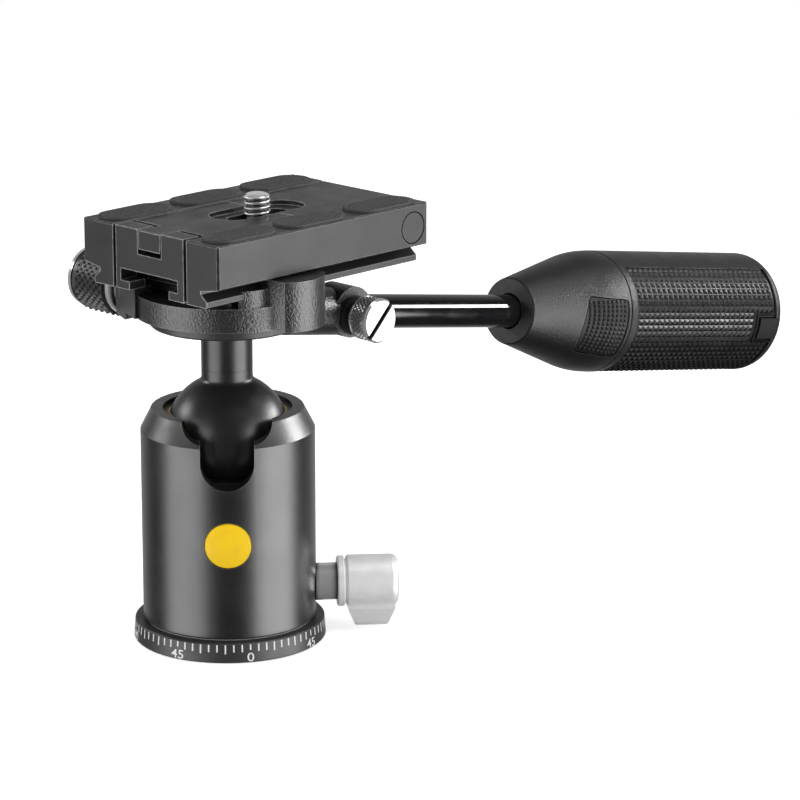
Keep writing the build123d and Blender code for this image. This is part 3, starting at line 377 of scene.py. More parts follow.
    def _relief(self, sheet: NodeSheet, place: Socket) -> Socket:
        """Gives the surface its fine relief.

        Args:
            sheet: Where nodes are added.
            place: Object coordinates.

        Returns:
            The normal.
        """
        if self.grain is Grain.TURNED:
            height = self._tool_marks(sheet, place)
        else:
            height = sheet.noise(place, self.grain_size)
        bump = sheet.add("ShaderNodeBump")
        bump.inputs["Strength"].default_value = 1.0
        bump.inputs["Distance"].default_value = self.grain_depth * MM
        sheet.feed(bump.inputs["Height"], height)
        return bump.outputs["Normal"]

    def _tool_marks(self, sheet: NodeSheet, place: Socket) -> Socket:
        """Fine rings about the head's upright axis, on round and flat faces alike.

        Args:
            sheet: Where nodes are added.
            place: Object coordinates.

        Returns:
            Height of the rings, from 0 to 1.
        """
        x, y, z = sheet.apart(place)
        reach = sheet.across("LENGTH", sheet.vector(x, y), (0.0, 0.0, 0.0), "Value")
        return sheet.noise(sheet.vector(z, reach), self.grain_size, detail=3.0)


# Where the round parts stand. Lengths in millimetres.
HANDLE_DROP = math.radians(10.03)
HANDLE_ALONG = Vector((math.cos(HANDLE_DROP), 0.0, -math.sin(HANDLE_DROP)))
HANDLE_UP = Vector((math.sin(HANDLE_DROP), 0.0, math.cos(HANDLE_DROP)))
HANDLE_ORIGIN = Vector((0.0, 0.0, 78.78))
THUMB_DISTANCE = 37.07
PAN_HEIGHT = 12.2
PAN_AZIMUTH = math.radians(-41.0)
PAN_DIRECTION = Vector((math.cos(PAN_AZIMUTH), math.sin(PAN_AZIMUTH), 0.0))

# The edge colours below are painted highlights on sharp edges, except the badge's dark one, which
# is painted shade at its rim; the hollow reach paints shade into hollows.
FINISHES: dict[str, Finish] = {
    "base_black": Finish(
        "satin_black_turned", (0.020, 0.020, 0.021), 0.45, specular=0.6, grain=Grain.TURNED,
        grain_size=0.22, grain_depth=0.004, painted_edge_width=0.2, painted_edge_colour=(0.09, 0.09, 0.09),
    ),
    "housing_black": Finish(
        "satin_black_anodised", (0.006, 0.006, 0.0065), 0.34, specular=1.0, grain_size=0.24,
        grain_depth=0.022, gloss_spread=0.03, painted_edge_width=0.3, painted_edge_colour=(0.12, 0.12, 0.12),
    ),
    "ball_black": Finish(
        "smooth_black_ball", (0.010, 0.010, 0.011), 0.36, specular=0.7, grain_size=0.2,
        grain_depth=0.002,
    ),
    "liner_gold": Finish(
        "gold_liner", (0.10, 0.065, 0.014), 0.38, metallic=0.5, grain=Grain.TURNED,
        grain_size=0.15, grain_depth=0.003, painted_edge_width=0.7, painted_edge_colour=(0.95, 0.78, 0.20),
    ),
    # its dark edge colour is painted shade, standing for the shaded recess round the badge
    "badge_orange": Finish(
        "orange_enamel", (1.0, 0.63, 0.008), 0.30, specular=0.3, grain_size=2.0, grain_depth=0.004,
        mottle=0.05, mottle_size=3.0, painted_edge_width=0.5, painted_edge_colour=(0.03, 0.012, 0.002),
    ),
    "casting_black": Finish(
        "black_powder_coat", (0.012, 0.012, 0.013), 0.34, specular=0.9, grain_size=0.5,
        grain_depth=0.16, painted_edge_width=0.45, painted_edge_colour=(0.16, 0.16, 0.16), dust=0.5,
    ),
    "plate_black": Finish(
        "matt_black_anodised", (0.017, 0.017, 0.018), 0.36, specular=0.46, grain_size=0.18,
        grain_depth=0.006, painted_edge_width=0.5, painted_edge_colour=(0.50, 0.50, 0.50),
    ),
    "rod_black": Finish(
        "gloss_black_rod", (0.009, 0.009, 0.010), 0.09, specular=0.8, grain_size=1.2,
        grain_depth=0.002,
    ),
    "knob_black": Finish(
        "black_knurled", (0.014, 0.014, 0.015), 0.36, specular=0.7, grain_size=0.15,
        grain_depth=0.004, painted_edge_width=0.12, painted_edge_colour=(0.07, 0.07, 0.07),
    ),
    "bright_steel": Finish(
        "polished_steel", (0.76, 0.76, 0.75), 0.17, metallic=0.6, grain_size=0.12,
        grain_depth=0.002, mottle=0.05, gloss_spread=0.03, painted_edge_width=0.4,
        painted_edge_colour=(0.22, 0.22, 0.22), hollow_shade_reach=1.6,
    ),
    "knob_silver": Finish(
        "satin_aluminium", (0.86, 0.86, 0.86), 0.36, metallic=0.22, grain_size=0.34,
        grain_depth=0.07, mottle=0.05, mottle_size=4.0, painted_edge_width=0.35,
        painted_edge_colour=(0.95, 0.95, 0.95),
    ),
    "inner_steel": Finish(
        "plain_steel", (0.42, 0.42, 0.43), 0.35, metallic=1.0, grain=Grain.TURNED, grain_size=0.2,
        grain_depth=0.004,
    ),
    "grip_plastic": Finish(
        "fine_moulded_plastic", (0.0075, 0.0075, 0.008), 0.38, grain_size=0.34, grain_depth=0.13,
        painted_edge_width=0.35, painted_edge_colour=(0.07, 0.07, 0.07),
    ),
    "grip_rubber": Finish(
        "stud_rubber", (0.006, 0.006, 0.006), 0.34, specular=0.26, grain_size=0.2,
        grain_depth=0.006, hollow_shade_reach=0.6,
    ),
    "pad_rubber": Finish("pad_rubber", (0.003, 0.003, 0.003), 0.60, specular=0.15),
    "thumb_rubber": Finish(
        "dimpled_rubber", (0.010, 0.010, 0.010), 0.46, specular=0.25, grain_size=0.2,
        grain_depth=0.006,
    ),
    "tab_plastic": Finish(
        "smooth_tab_plastic", (0.009, 0.009, 0.009), 0.42, specular=0.25, grain_size=0.25,
        grain_depth=0.004,
    ),
    "nylon": Finish("natural_nylon", (0.70, 0.68, 0.62), 0.45, grain_size=0.6),
}
# Flat dark rings just over the plate's sides at the pivot pins: painted shadow of the gap.
JOINT_SHADOW = Finish(
    "painted_gap_shadow", (0.003, 0.003, 0.003), 0.8, specular=0.1, grain_size=1.0, grain_depth=0.001,
)
RIB_RUBBER = Finish("ribbed_rubber", (0.042, 0.042, 0.040), 0.50, specular=0.30)
PRINT_WHITE = Finish(
    "white_print", (0.80, 0.80, 0.79), 0.50, grain_size=0.2, grain_depth=0.002, mottle=0.04,
    mottle_size=2.0,
)


# ---------------------------------------------------------------- shared ways of making pieces
@dataclass(frozen=True)
class Basis:
    """Local frame of a round part: x along its axis, y and z across it. Origin in millimetres."""

    origin: Vector
    along: Vector
    up: Vector

    def matrix(self) -> Matrix:
        """Works out where the part stands.

        Returns:
            The matrix that takes local millimetres to the head's frame in metres.
        """
        side = self.along.cross(self.up)
        turn = Matrix((self.along, self.up, side)).transposed().to_4x4()
        return Matrix.Translation(self.origin * MM) @ turn @ Matrix.Scale(MM, 4)


X_AXIS, Y_AXIS, Z_AXIS = Vector((1, 0, 0)), Vector((0, 1, 0)), Vector((0, 0, 1))
HANDLE = Basis(HANDLE_ORIGIN, HANDLE_ALONG, HANDLE_UP)
CLAMP = Basis(Vector((-8.0, 0.0, 82.4)), Y_AXIS, Z_AXIS)
THUMB = Basis(HANDLE_ORIGIN + HANDLE_ALONG * THUMB_DISTANCE, -Y_AXIS, Z_AXIS)
PAN = Basis(Vector((0.0, 0.0, PAN_HEIGHT)), PAN_DIRECTION, Z_AXIS)
UPRIGHT = Basis(Vector((0.0, 0.0, 0.0)), Z_AXIS, X_AXIS)


def settle(
    name: str, mesh: bpy.types.Mesh, body: Body, slot: str, finish: Finish | None = None
) -> bpy.types.Object:
    """Puts a finished mesh on its body with its finish.

    Args:
        name: Name of the piece.
        mesh: Its mesh, in place, in metres.
        body: The body that carries it.
        slot: The record's material slot.
        finish: Its surface finish, where that isn't the slot's own.

    Returns:
        The new object.
    """
    piece = bpy.data.objects.new(name, mesh)
    bpy.context.scene.collection.objects.link(piece)
    mesh.materials.clear()
    mesh.materials.append((finish or FINISHES[slot]).material())
    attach(piece, body.value)
    log.info("%s: %d faces on %s", name, len(mesh.polygons), body.value)
    return piece


def flattened(source: bpy.types.Object) -> bpy.types.Mesh:
    """Turns an object with its modifiers into a plain mesh, and removes the object.

    Args:
        source: A mesh, curve or text object.

    Returns:
        The evaluated mesh.
    """
    graph = bpy.context.evaluated_depsgraph_get()
    mesh = bpy.data.meshes.new_from_object(source.evaluated_get(graph))
    source.modifiers.clear()
    bpy.data.objects.remove(source)
    return mesh


def shape(
    name: str, points: list[tuple[float, float, float]], faces: list[tuple[int, ...]]
) -> bpy.types.Mesh:
    """Makes a mesh from points and faces.

    Args:
        name: Name of the mesh.
        points: Vertex positions.
        faces: Vertex numbers of each face.

    Returns:
        The mesh.
    """
    mesh = bpy.data.meshes.new(name)
    mesh.from_pydata(points, [], faces)
    mesh.update()
    return mesh


def merged(name: str, parts: list[bpy.types.Mesh]) -> bpy.types.Mesh:
    """Joins meshes into one.

    Args:
        name: Name of the new mesh.
        parts: The meshes, in place.

    Returns:
        The new mesh.
    """
    sheet = bmesh.new()
    for part in parts:
        sheet.from_mesh(part)
    return written(sheet, name)


def written(sheet: bmesh.types.BMesh, name: str) -> bpy.types.Mesh:
    """Writes an edited mesh out, and frees it.

    Args:
        sheet: The edited mesh.
        name: Name of the new mesh.

    Returns:
        The new mesh.
    """
    mesh = bpy.data.meshes.new(name)
    sheet.to_mesh(mesh)
    sheet.free()
    return mesh


def frustum(name: str, base: Pair, top: Pair, height: float, sink: float) -> bpy.types.Mesh:
    """Makes a stud with a rectangular foot and a smaller rectangular top.

    Args:
        name: Name of the mesh.
        base: Foot size along and across.
        top: Top size along and across.
        height: Height above the surface it stands on.
        sink: Depth of the foot below that surface.

    Returns:
        The stud, open at its foot.
    """
    points = []
    for (wide, deep), level in ((base, -sink), (top, height)):
        for x, y in ((-1, -1), (1, -1), (1, 1), (-1, 1)):
            points.append((x * wide / 2, y * deep / 2, level))
    faces = [(4, 5, 6, 7), (0, 1, 5, 4), (1, 2, 6, 5), (2, 3, 7, 6), (3, 0, 4, 7)]
    return shape(name, points, faces)


def diamond(name: str, length: float, width: float, height: float, sink: float) -> bpy.types.Mesh:
    """Makes one tooth of a diamond knurl.

    Args:
        name: Name of the mesh.
        length: Length along the knurled part's axis.
        width: Width round it.
        height: Height above the surface it stands on.
        sink: Depth of the foot below that surface.

    Returns:
        The tooth, open at its foot.
    """
    flat = 0.16
    feet = ((length / 2, 0), (0, width / 2), (-length / 2, 0), (0, -width / 2))
    points = [(x, y, -sink) for x, y in feet]
    points += [(x * flat, y * flat, height) for x, y, _ in points]
    faces = [(4, 5, 6, 7)] + [(i, (i + 1) % 4, 4 + (i + 1) % 4, 4 + i) for i in range(4)]
    return shape(name, points, faces)


class NodeTree:
    """A Geometry Nodes tree with named inputs."""

    def __init__(self, title: str, inputs: dict[str, object]) -> None:
        """Starts the tree and its interface.

        Args:
            title: Name of the tree.
            inputs: Name and default of each input; the type follows the default.
        """
        self.tree = bpy.data.node_groups.new(title, "GeometryNodeTree")
        self.sheet = NodeSheet(self.tree)
        self.keys: dict[str, str] = {}
        face = self.tree.interface
        face.new_socket(name="Geometry", in_out="INPUT", socket_type="NodeSocketGeometry")
        for name, default in inputs.items():
            kind = "NodeSocketInt" if isinstance(default, int) else "NodeSocketFloat"
            if default is None:
                kind = "NodeSocketMaterial"
            socket = face.new_socket(name=name, in_out="INPUT", socket_type=kind)
            if default is not None:
                socket.default_value = default
            self.keys[name] = socket.identifier
        face.new_socket(name="Geometry", in_out="OUTPUT", socket_type="NodeSocketGeometry")
        self.start = self.sheet.add("NodeGroupInput")
        self.end = self.sheet.add("NodeGroupOutput")

    def scatter(self, inputs: dict[str, Socket]) -> None:
        """Ends the tree: copies are set, become real geometry and take the material.

        Args:
            inputs: What feeds each input of the node that sets the copies.
        """
        copies = self.sheet.add("GeometryNodeInstanceOnPoints")
        for name, socket in inputs.items():
            self.sheet.feed(copies.inputs[name], socket)
        real = self.sheet.add("GeometryNodeRealizeInstances")
        self.sheet.feed(real.inputs[0], copies.outputs[0])
        paint = self.sheet.add("GeometryNodeSetMaterial")
        self.sheet.feed(paint.inputs["Geometry"], real.outputs[0])
        self.sheet.feed(paint.inputs["Material"], self.start.outputs["Material"])
        self.sheet.feed(self.end.inputs[0], paint.outputs[0])

    def run(self, mesh: bpy.types.Mesh, values: dict[str, object]) -> bpy.types.Mesh:
        """Runs the tree on a mesh.

        Args:
            mesh: The mesh that goes in.
            values: Value of each named input.

        Returns:
            The plain mesh that comes out.
        """
        carrier = bpy.data.objects.new(mesh.name + "_carrier", mesh)
        modifier = carrier.modifiers.new("nodes", "NODES")
        modifier.node_group = self.tree
        for name, value in values.items():
            modifier[self.keys[name]] = value
        bpy.context.scene.collection.objects.link(carrier)
        return flattened(carrier)


class WrappedPattern(NodeTree):
    """Sets copies of a small mesh in rings round an axis, on a cylinder, cone or crown."""

    def __init__(self) -> None:
        """Builds the tree."""
        super().__init__(
            "wrapped_pattern",
            {
                "Columns": 1, "Rows": 1, "Radius": 1.0, "Slope": 0.0, "Crown": 0.0,
                "Along Start": 0.0, "Along Step": 1.0, "Angle Start": 0.0, "Angle Step": 0.1,
                "Stagger": 0.0, "Gap Along": NO_GAP, "Gap Angle": 0.0, "Gap Half Angle": 0.0,
                "Material": None,
            },
        )
        sheet, given = self.sheet, self.start.outputs
        index = sheet.add("GeometryNodeInputIndex").outputs[0]
        nudged = sheet.calc("ADD", index, ROUNDING_NUDGE)
        column = sheet.calc("FLOOR", sheet.calc("DIVIDE", nudged, given["Rows"]))
        row = sheet.calc("SUBTRACT", index, sheet.calc("MULTIPLY", column, given["Rows"]))
        odd = sheet.calc("MODULO", column, 2.0)
        shifted = sheet.calc("ADD", row, sheet.calc("MULTIPLY", given["Stagger"], odd))
        reach = sheet.calc("MULTIPLY", column, given["Along Step"])
        along = sheet.calc("ADD", given["Along Start"], reach)
        swing = sheet.calc("MULTIPLY", shifted, given["Angle Step"])
        angle = sheet.calc("ADD", given["Angle Start"], swing)
        bend = sheet.calc("MULTIPLY", given["Crown"], reach)
        rise = sheet.calc("MULTIPLY", sheet.calc("ADD", given["Slope"], bend), reach)
        radius = sheet.calc("ADD", given["Radius"], rise)
        up = sheet.calc("MULTIPLY", radius, sheet.calc("COSINE", angle))
        side = sheet.calc("MULTIPLY", radius, sheet.calc("SINE", angle))
        total = sheet.calc("MULTIPLY", given["Columns"], given["Rows"])
        points = sheet.add("GeometryNodePoints")
        sheet.feed(points.inputs["Count"], total)
        sheet.feed(points.inputs["Position"], sheet.vector(along, up, side))
        past = sheet.calc("GREATER_THAN", along, given["Gap Along"])
        away = sheet.calc("ABSOLUTE", sheet.calc("SUBTRACT", angle, given["Gap Angle"]))
        near = sheet.calc("LESS_THAN", away, given["Gap Half Angle"])
        keep = sheet.calc("SUBTRACT", 1.0, sheet.calc("MULTIPLY", past, near))
        lean = sheet.vector(sheet.calc("SUBTRACT", angle, math.pi / 2))
        self.scatter(
            {
                "Points": points.outputs[0], "Selection": keep, "Instance": given["Geometry"],
                "Rotation": lean,
            }
        )


class RibField(NodeTree):
    """Lays a round-topped rib through each vertex, as long as its half_length attribute says."""

    def __init__(self) -> None:
        """Builds the tree."""
        super().__init__("rib_field", {"Rib Radius": 0.2, "Rib Angle": 0.0, "Material": None})
        sheet, given = self.sheet, self.start.outputs
        rib = sheet.add("GeometryNodeMeshCylinder", fill_type="TRIANGLE_FAN")
        rib.inputs["Vertices"].default_value = RIB_SIDES
        sheet.feed(rib.inputs["Radius"], given["Rib Radius"])
        rib.inputs["Depth"].default_value = 2.0
        laid = sheet.add("GeometryNodeTransform")
        sheet.feed(laid.inputs["Geometry"], rib.outputs["Mesh"])
        laid.inputs["Rotation"].default_value = (math.pi / RIB_SIDES, math.pi / 2, 0.0)
        length = sheet.add("GeometryNodeInputNamedAttribute", data_type="FLOAT")
        length.inputs["Name"].default_value = "half_length"
        self.scatter(
            {
                "Points": given["Geometry"], "Instance": laid.outputs[0],
                "Rotation": sheet.vector(z=given["Rib Angle"]),
                "Scale": sheet.vector(length.outputs["Attribute"], 1.0, 1.0),
            }
        )


# ---------------------------------------------------------------- base with its degree scale
@dataclass
class PanningBase:
    """Degree scale on the rim of the base. Lengths in millimetres, angles in degrees."""

    pattern: WrappedPattern
    low_radius: float = 22.75
    high_radius: float = 22.45
    low_z: float = 0.3
    high_z: float = 4.45
    zero_azimuth: float = -121.1
    number_step: int = 45
    long_step: int = 15
    short_step: int = 5
    number_tick: float = 1.3
    long_tick: float = 2.15
    short_tick: float = 1.75
    tick_top: float = 4.40
    tick_width: float = 0.34
    relief: float = 0.03
    sink: float = 0.1
    numeral_size: float = 2.95
    numeral_foot: float = 0.36
    numeral_stretch: float = 1.22
    numeral_swell: float = 0.012

    def radius(self, z: float) -> float:
        """Radius of the rim at a height."""
        share = (z - self.low_z) / (self.high_z - self.low_z)
        return self.low_radius + (self.high_radius - self.low_radius) * share

    def tick(self, length: float) -> bpy.types.Mesh:
        """Makes one tick, which hangs from the top of the scale.

        Args:
            length: Length of the tick.

        Returns:
            Its mesh, with x up the rim and z out of it.
        """
        lean = self.radius(self.tick_top - length) - self.radius(self.tick_top)
        half = self.tick_width / 2
        points = []
        for x, out in ((0.0, 0.0), (-length, lean)):
            for y in (-half, half):
                points += [(x, y, out - self.sink), (x, y, out + self.relief)]
        faces = [
            (0, 2, 3, 1), (4, 5, 7, 6), (0, 1, 5, 4), (2, 6, 7, 3), (1, 3, 7, 5), (0, 4, 6, 2),
        ]
        return shape("tick", points, faces)

    def ticks(self, length: float, start: int, step: int) -> bpy.types.Mesh:
        """Sets equal ticks round the rim.

        Args:
            length: Length of each tick.
            start: First tick, from the zero.
            step: Angle from one tick to the next.

        Returns:
            The ticks, in place.
        """
        ring = self.pattern.run(
            self.tick(length),
            {
                "Columns": 1, "Rows": 360 // step, "Radius": self.radius(self.tick_top),
                "Along Start": self.tick_top,
                "Angle Start": math.radians(self.zero_azimuth + start),
                "Angle Step": math.radians(step), "Material": PRINT_WHITE.material(),
            },
        )
        ring.transform(UPRIGHT.matrix())
        return ring

    def numeral(self, text: str, azimuth: float) -> bpy.types.Mesh:
        """Wraps one number onto the rim.

        Args:
            text: The number.
            azimuth: Where its middle stands.

        Returns:
            The number, in place.
        """
        curve = bpy.data.curves.new("numeral_" + text, "FONT")
        curve.body = text
        curve.size = self.numeral_size
        curve.align_x = "CENTER"
        curve.extrude = self.relief
        curve.offset = self.numeral_swell
        curve.resolution_u = 4
        words = bpy.data.objects.new("numeral", curve)
        bpy.context.scene.collection.objects.link(words)
        mesh = flattened(words)
        for vertex in mesh.vertices:
            z = self.numeral_foot + vertex.co.y
            out = self.radius(z) + vertex.co.z
            turn = math.radians(azimuth) + vertex.co.x * self.numeral_stretch / self.radius(z)
            vertex.co = Vector((out * math.cos(turn), out * math.sin(turn), z)) * MM
        return mesh

    def build(self) -> None:
        """Makes the ticks and numbers of the scale."""
        rings = (
            (self.long_tick, self.long_step, self.number_step),
            (self.long_tick, 2 * self.long_step, self.number_step),
            (self.number_tick, 0, self.number_step),
            (self.short_tick, self.short_step, self.long_step),
            (self.short_tick, 2 * self.short_step, self.long_step),
        )
        ticks = merged("scale_ticks", [self.ticks(*ring) for ring in rings])
        settle("scale_ticks", ticks, Body.BASE, "base_black", PRINT_WHITE)
        numerals = [
            self.numeral(str(min(turn, 360 - turn)), self.zero_azimuth + turn)
            for turn in range(0, 360, self.number_step)
        ]
        numbers = merged("scale_numbers", numerals)
        settle("scale_numbers", numbers, Body.BASE, "base_black", PRINT_WHITE)


# ---------------------------------------------------------------- knurled parts
@dataclass
class Knurl:
    """Diamond knurl round a turned part. Lengths in millimetres."""

    pattern: WrappedPattern
    name: str
    basis: Basis
    body: Body
    slot: str
    radius: float
    start: float
    end: float
    teeth_round: int
    tooth_length: float
    height: float
    sink: float = 0.05

    def build(self) -> None:
        """Makes the knurl."""
        width = math.tau * self.radius / self.teeth_round
        step = self.tooth_length / 2
        mesh = self.pattern.run(
            diamond(self.name, self.tooth_length, width, self.height, self.sink),
            {
                "Columns": int((self.end - self.start) / step) - 1, "Rows": self.teeth_round,
                "Radius": self.radius, "Along Start": self.start + step, "Along Step": step,
                "Angle Start": 0.0, "Angle Step": math.tau / self.teeth_round, "Stagger": 0.5,
                "Material": FINISHES[self.slot].material(),
            },
        )
        mesh.transform(self.basis.matrix())
        settle(self.name, mesh, self.body, self.slot)


@dataclass
class Collar:
    """Bright turned collar behind the pan knob. Lengths in millimetres."""

    basis: Basis
    near: float = 25.46
    far: float = 27.24
    radius: float = 6.05
    bevel: float = 0.3
    bore: float = 4.5
    steps: int = 72

    def build(self) -> None:
        """Makes the collar."""
        side = self.radius - self.bevel
        profile = [
            (self.near, self.bore), (self.near, side), (self.near + self.bevel, self.radius),
            (self.far - self.bevel, self.radius), (self.far, side), (self.far, self.bore),
        ]
        points, faces = [], []
        for i in range(self.steps):
            turn = math.tau * i / self.steps
            points += [(s, r * math.cos(turn), r * math.sin(turn)) for s, r in profile]
        count = len(profile)
        for i in range(self.steps):
            here, after = i * count, (i + 1) % self.steps * count
            for k in range(count):
                beside = (k + 1) % count
                faces.append((here + k, here + beside, after + beside, after + k))
        sheet = bmesh.new()
        sheet.from_mesh(shape("collar", points, faces))
        bmesh.ops.recalc_face_normals(sheet, faces=sheet.faces)
        mesh = written(sheet, "pan_knob_collar")
        mesh.transform(self.basis.matrix())
        settle("pan_knob_collar", mesh, Body.PAN_KNOB, "knob_silver")


# ---------------------------------------------------------------- grip
@dataclass
class Grip:
    """Moulded relief of the grip's rubber cover. Lengths in millimetres, angles in degrees."""

    pattern: WrappedPattern
    cover_radius: float = 15.25
    top_angle: float = 33.8
    start: float = 130.8
    end: float = 188.2
    stud_pitch: float = 2.06
    stud_columns: int = 27
    stud_rows: int = 48
    stud_height: float = 0.38
    stud_foot: float = 0.94
    stud_top: Pair = (0.55, 0.35)
    stud_sink: float = 0.03
    stud_margin: float = 1.75
    stud_margin_angle: float = 2.5
    tab_start: float = 180.4
    tab_angle: float = 98.0
    tab_half_angle: float = 14.5
    tab_margin: float = 0.9
    tab_margin_angle: float = 1.5
    bead_radius: float = 0.16
    bead_lift: float = 0.22
    bead_margin: float = 0.25
    bead_margin_angle: float = 0.6
    bead_step: float = 8.0
    bead_step_angle: float = 4.0

    def studs(self) -> None:
        """Covers the rubber with rows of square-footed studs."""
        first = self.top_angle + self.stud_margin_angle
        step = math.radians((360.0 - 2 * first) / (self.stud_rows - 1))
        foot = (self.stud_pitch * self.stud_foot, step * self.cover_radius * self.stud_foot)
        mesh = self.pattern.run(
            frustum("grip_studs", foot, self.stud_top, self.stud_height, self.stud_sink),
            {
                "Columns": self.stud_columns, "Rows": self.stud_rows,
                "Radius": self.cover_radius, "Along Start": self.start + self.stud_margin,
                "Along Step": self.stud_pitch, "Angle Start": math.radians(first),
                "Angle Step": step, "Gap Along": self.tab_start - self.tab_margin,
                "Gap Angle": math.radians(self.tab_angle),
                "Gap Half Angle": math.radians(self.tab_half_angle + self.tab_margin_angle),
                "Material": FINISHES["grip_rubber"].material(),
            },
        )
        mesh.transform(HANDLE.matrix())
        settle("grip_studs", mesh, Body.GRIP, "grip_rubber")

    def border(self) -> list[Vector]:
        """Follows the border of the studs, with its notch at the end tab.

        Returns:
            Points on the way round, in the handle's frame.
        """
        low, high = self.start + self.bead_margin, self.end - self.bead_margin
        top = self.top_angle + self.bead_margin_angle
        near, far = self.tab_angle - self.tab_half_angle, self.tab_angle + self.tab_half_angle
        corners = [
            (low, top), (high, top), (high, near), (self.tab_start, near), (self.tab_start, far),
            (high, far), (high, 360.0 - top), (low, 360.0 - top),
        ]
        reach = self.cover_radius + self.bead_lift
        route = []
        for (s0, t0), (s1, t1) in zip(corners, corners[1:] + corners[:1]):
            turns, lengths = abs(t1 - t0) / self.bead_step_angle, abs(s1 - s0) / self.bead_step
            pieces = max(1, int(max(turns, lengths)))
            for i in range(pieces):
                s = s0 + (s1 - s0) * i / pieces
                t = math.radians(t0 + (t1 - t0) * i / pieces)
                route.append(Vector((s, reach * math.cos(t), reach * math.sin(t))))
        return route

    def bead(self) -> None:
        """Lays the raised border line round the studs."""
        route = self.border()
        curve = bpy.data.curves.new("grip_bead", "CURVE")
        curve.dimensions = "3D"
        curve.bevel_depth = self.bead_radius
        curve.bevel_resolution = 1
        line = curve.splines.new("POLY")
        line.points.add(len(route) - 1)
        for point, spot in zip(line.points, route):
            point.co = (*spot, 1.0)
        line.use_cyclic_u = True
        tube = bpy.data.objects.new("grip_bead", curve)
        bpy.context.scene.collection.objects.link(tube)
        mesh = flattened(tube)
        mesh.transform(HANDLE.matrix())
        settle("grip_bead", mesh, Body.GRIP, "grip_rubber")

    def build(self) -> None:
        """Makes the studs and their border."""
        self.studs()
        self.bead()


@dataclass
class ThumbRest:
    """Small bumps on the crowned cone of the thumb rest. Millimetres and degrees."""

    pattern: WrappedPattern
    radius: float = 13.03
    slope: float = 0.354
    crown: float = -0.01333
    start: float = 115.2
    pitch: float = 1.36
    columns: int = 9
    rows: int = 13
    start_angle: float = 71.5
    step_angle: float = 4.45
    foot: float = 0.95
    top: float = 0.42
    height: float = 0.22
    sink: float = 0.05

    def build(self) -> None:
        """Makes the bumps."""
        foot, top = (self.foot, self.foot), (self.top, self.top)
        mesh = self.pattern.run(
            frustum("thumb_bumps", foot, top, self.height, self.sink),
            {
                "Columns": self.columns, "Rows": self.rows, "Radius": self.radius,
                "Slope": self.slope, "Crown": self.crown, "Along Start": self.start,
                "Along Step": self.pitch, "Angle Start": math.radians(self.start_angle),
                "Angle Step": math.radians(self.step_angle),
                "Material": FINISHES["thumb_rubber"].material(),
            },
        )
        mesh.transform(HANDLE.matrix())
        settle("thumb_bumps", mesh, Body.PLATFORM, "thumb_rubber")


# ---------------------------------------------------------------- plate
@dataclass
class QuickPlate:
    """Ribs of the six rubber pads. Lengths in millimetres."""

    ribs: RibField
    pad_centres_x: tuple[float, ...] = (-11.2, 11.1, 33.7)
    plate_y: float = 1.08
    pad_offset: float = 17.45
    pad_length: float = 19.5
    pad_width: float = 9.3
    corner: float = 4.6
    corner_steps: int = 8
    inset: float = 0.12
    pitch: float = 0.72
    rib_radius: float = 0.17
    shortest: float = 1.0
    surface_z: float = 101.65
    direction: float = math.radians(40.0)

    def outline(self) -> list[Vector]:
        """Goes round the ribbed field of one pad.

        Returns:
            Points on the way round, centred on the pad.
        """
        half_x, half_y = self.pad_length / 2 - self.inset, self.pad_width / 2 - self.inset
        corner = self.corner - self.inset
        points = []
        for quarter, (sx, sy) in enumerate(((1, 1), (-1, 1), (-1, -1), (1, -1))):
            for i in range(self.corner_steps + 1):
                turn = math.radians(90.0 * quarter + 90.0 * i / self.corner_steps)
                x = sx * (half_x - corner) + corner * math.cos(turn)
                y = sy * (half_y - corner) + corner * math.sin(turn)
                points.append(Vector((x, y)))
        return points

    def chords(self) -> list[tuple[Vector, float]]:
        """Lays slanted lines across one pad.

        Returns:
            Middle and half length of each rib, centred on the pad.
        """
        ring = self.outline()
        along = Vector((math.cos(self.direction), math.sin(self.direction)))
        across = Vector((-along.y, along.x))
        count = int(max(point.dot(across) for point in ring) / self.pitch)
        found = []
        for number in range(-count, count + 1):
            level = number * self.pitch
            hits = []
            for a, b in zip(ring, ring[1:] + ring[:1]):
                da, db = a.dot(across) - level, b.dot(across) - level
                if da * db < 0:
                    hits.append((a + (b - a) * (da / (da - db))).dot(along))
            if len(hits) == 2 and abs(hits[1] - hits[0]) > self.shortest:
                middle = along * (sum(hits) / 2) + across * level
                found.append((middle, abs(hits[1] - hits[0]) / 2))
        return found

    def build(self) -> None:
        """Lays the ribs on all six pads."""
        points, lengths = [], []
        for x in self.pad_centres_x:
            for side in (-1, 1):
                for middle, half in self.chords():
                    y = self.plate_y + side * self.pad_offset
                    points.append((x + middle.x, y + middle.y, self.surface_z))
                    lengths.append(half)
        seeds = shape("pad_ribs", points, [])
        attribute = seeds.attributes.new("half_length", "FLOAT", "POINT")
        attribute.data.foreach_set("value", lengths)
        mesh = self.ribs.run(
            seeds,
            {
                "Rib Radius": self.rib_radius, "Rib Angle": self.direction,
                "Material": RIB_RUBBER.material(),
            },
        )
        mesh.transform(Matrix.Scale(MM, 4))
        settle("pad_ribs", mesh, Body.PLATE, "pad_rubber", RIB_RUBBER)


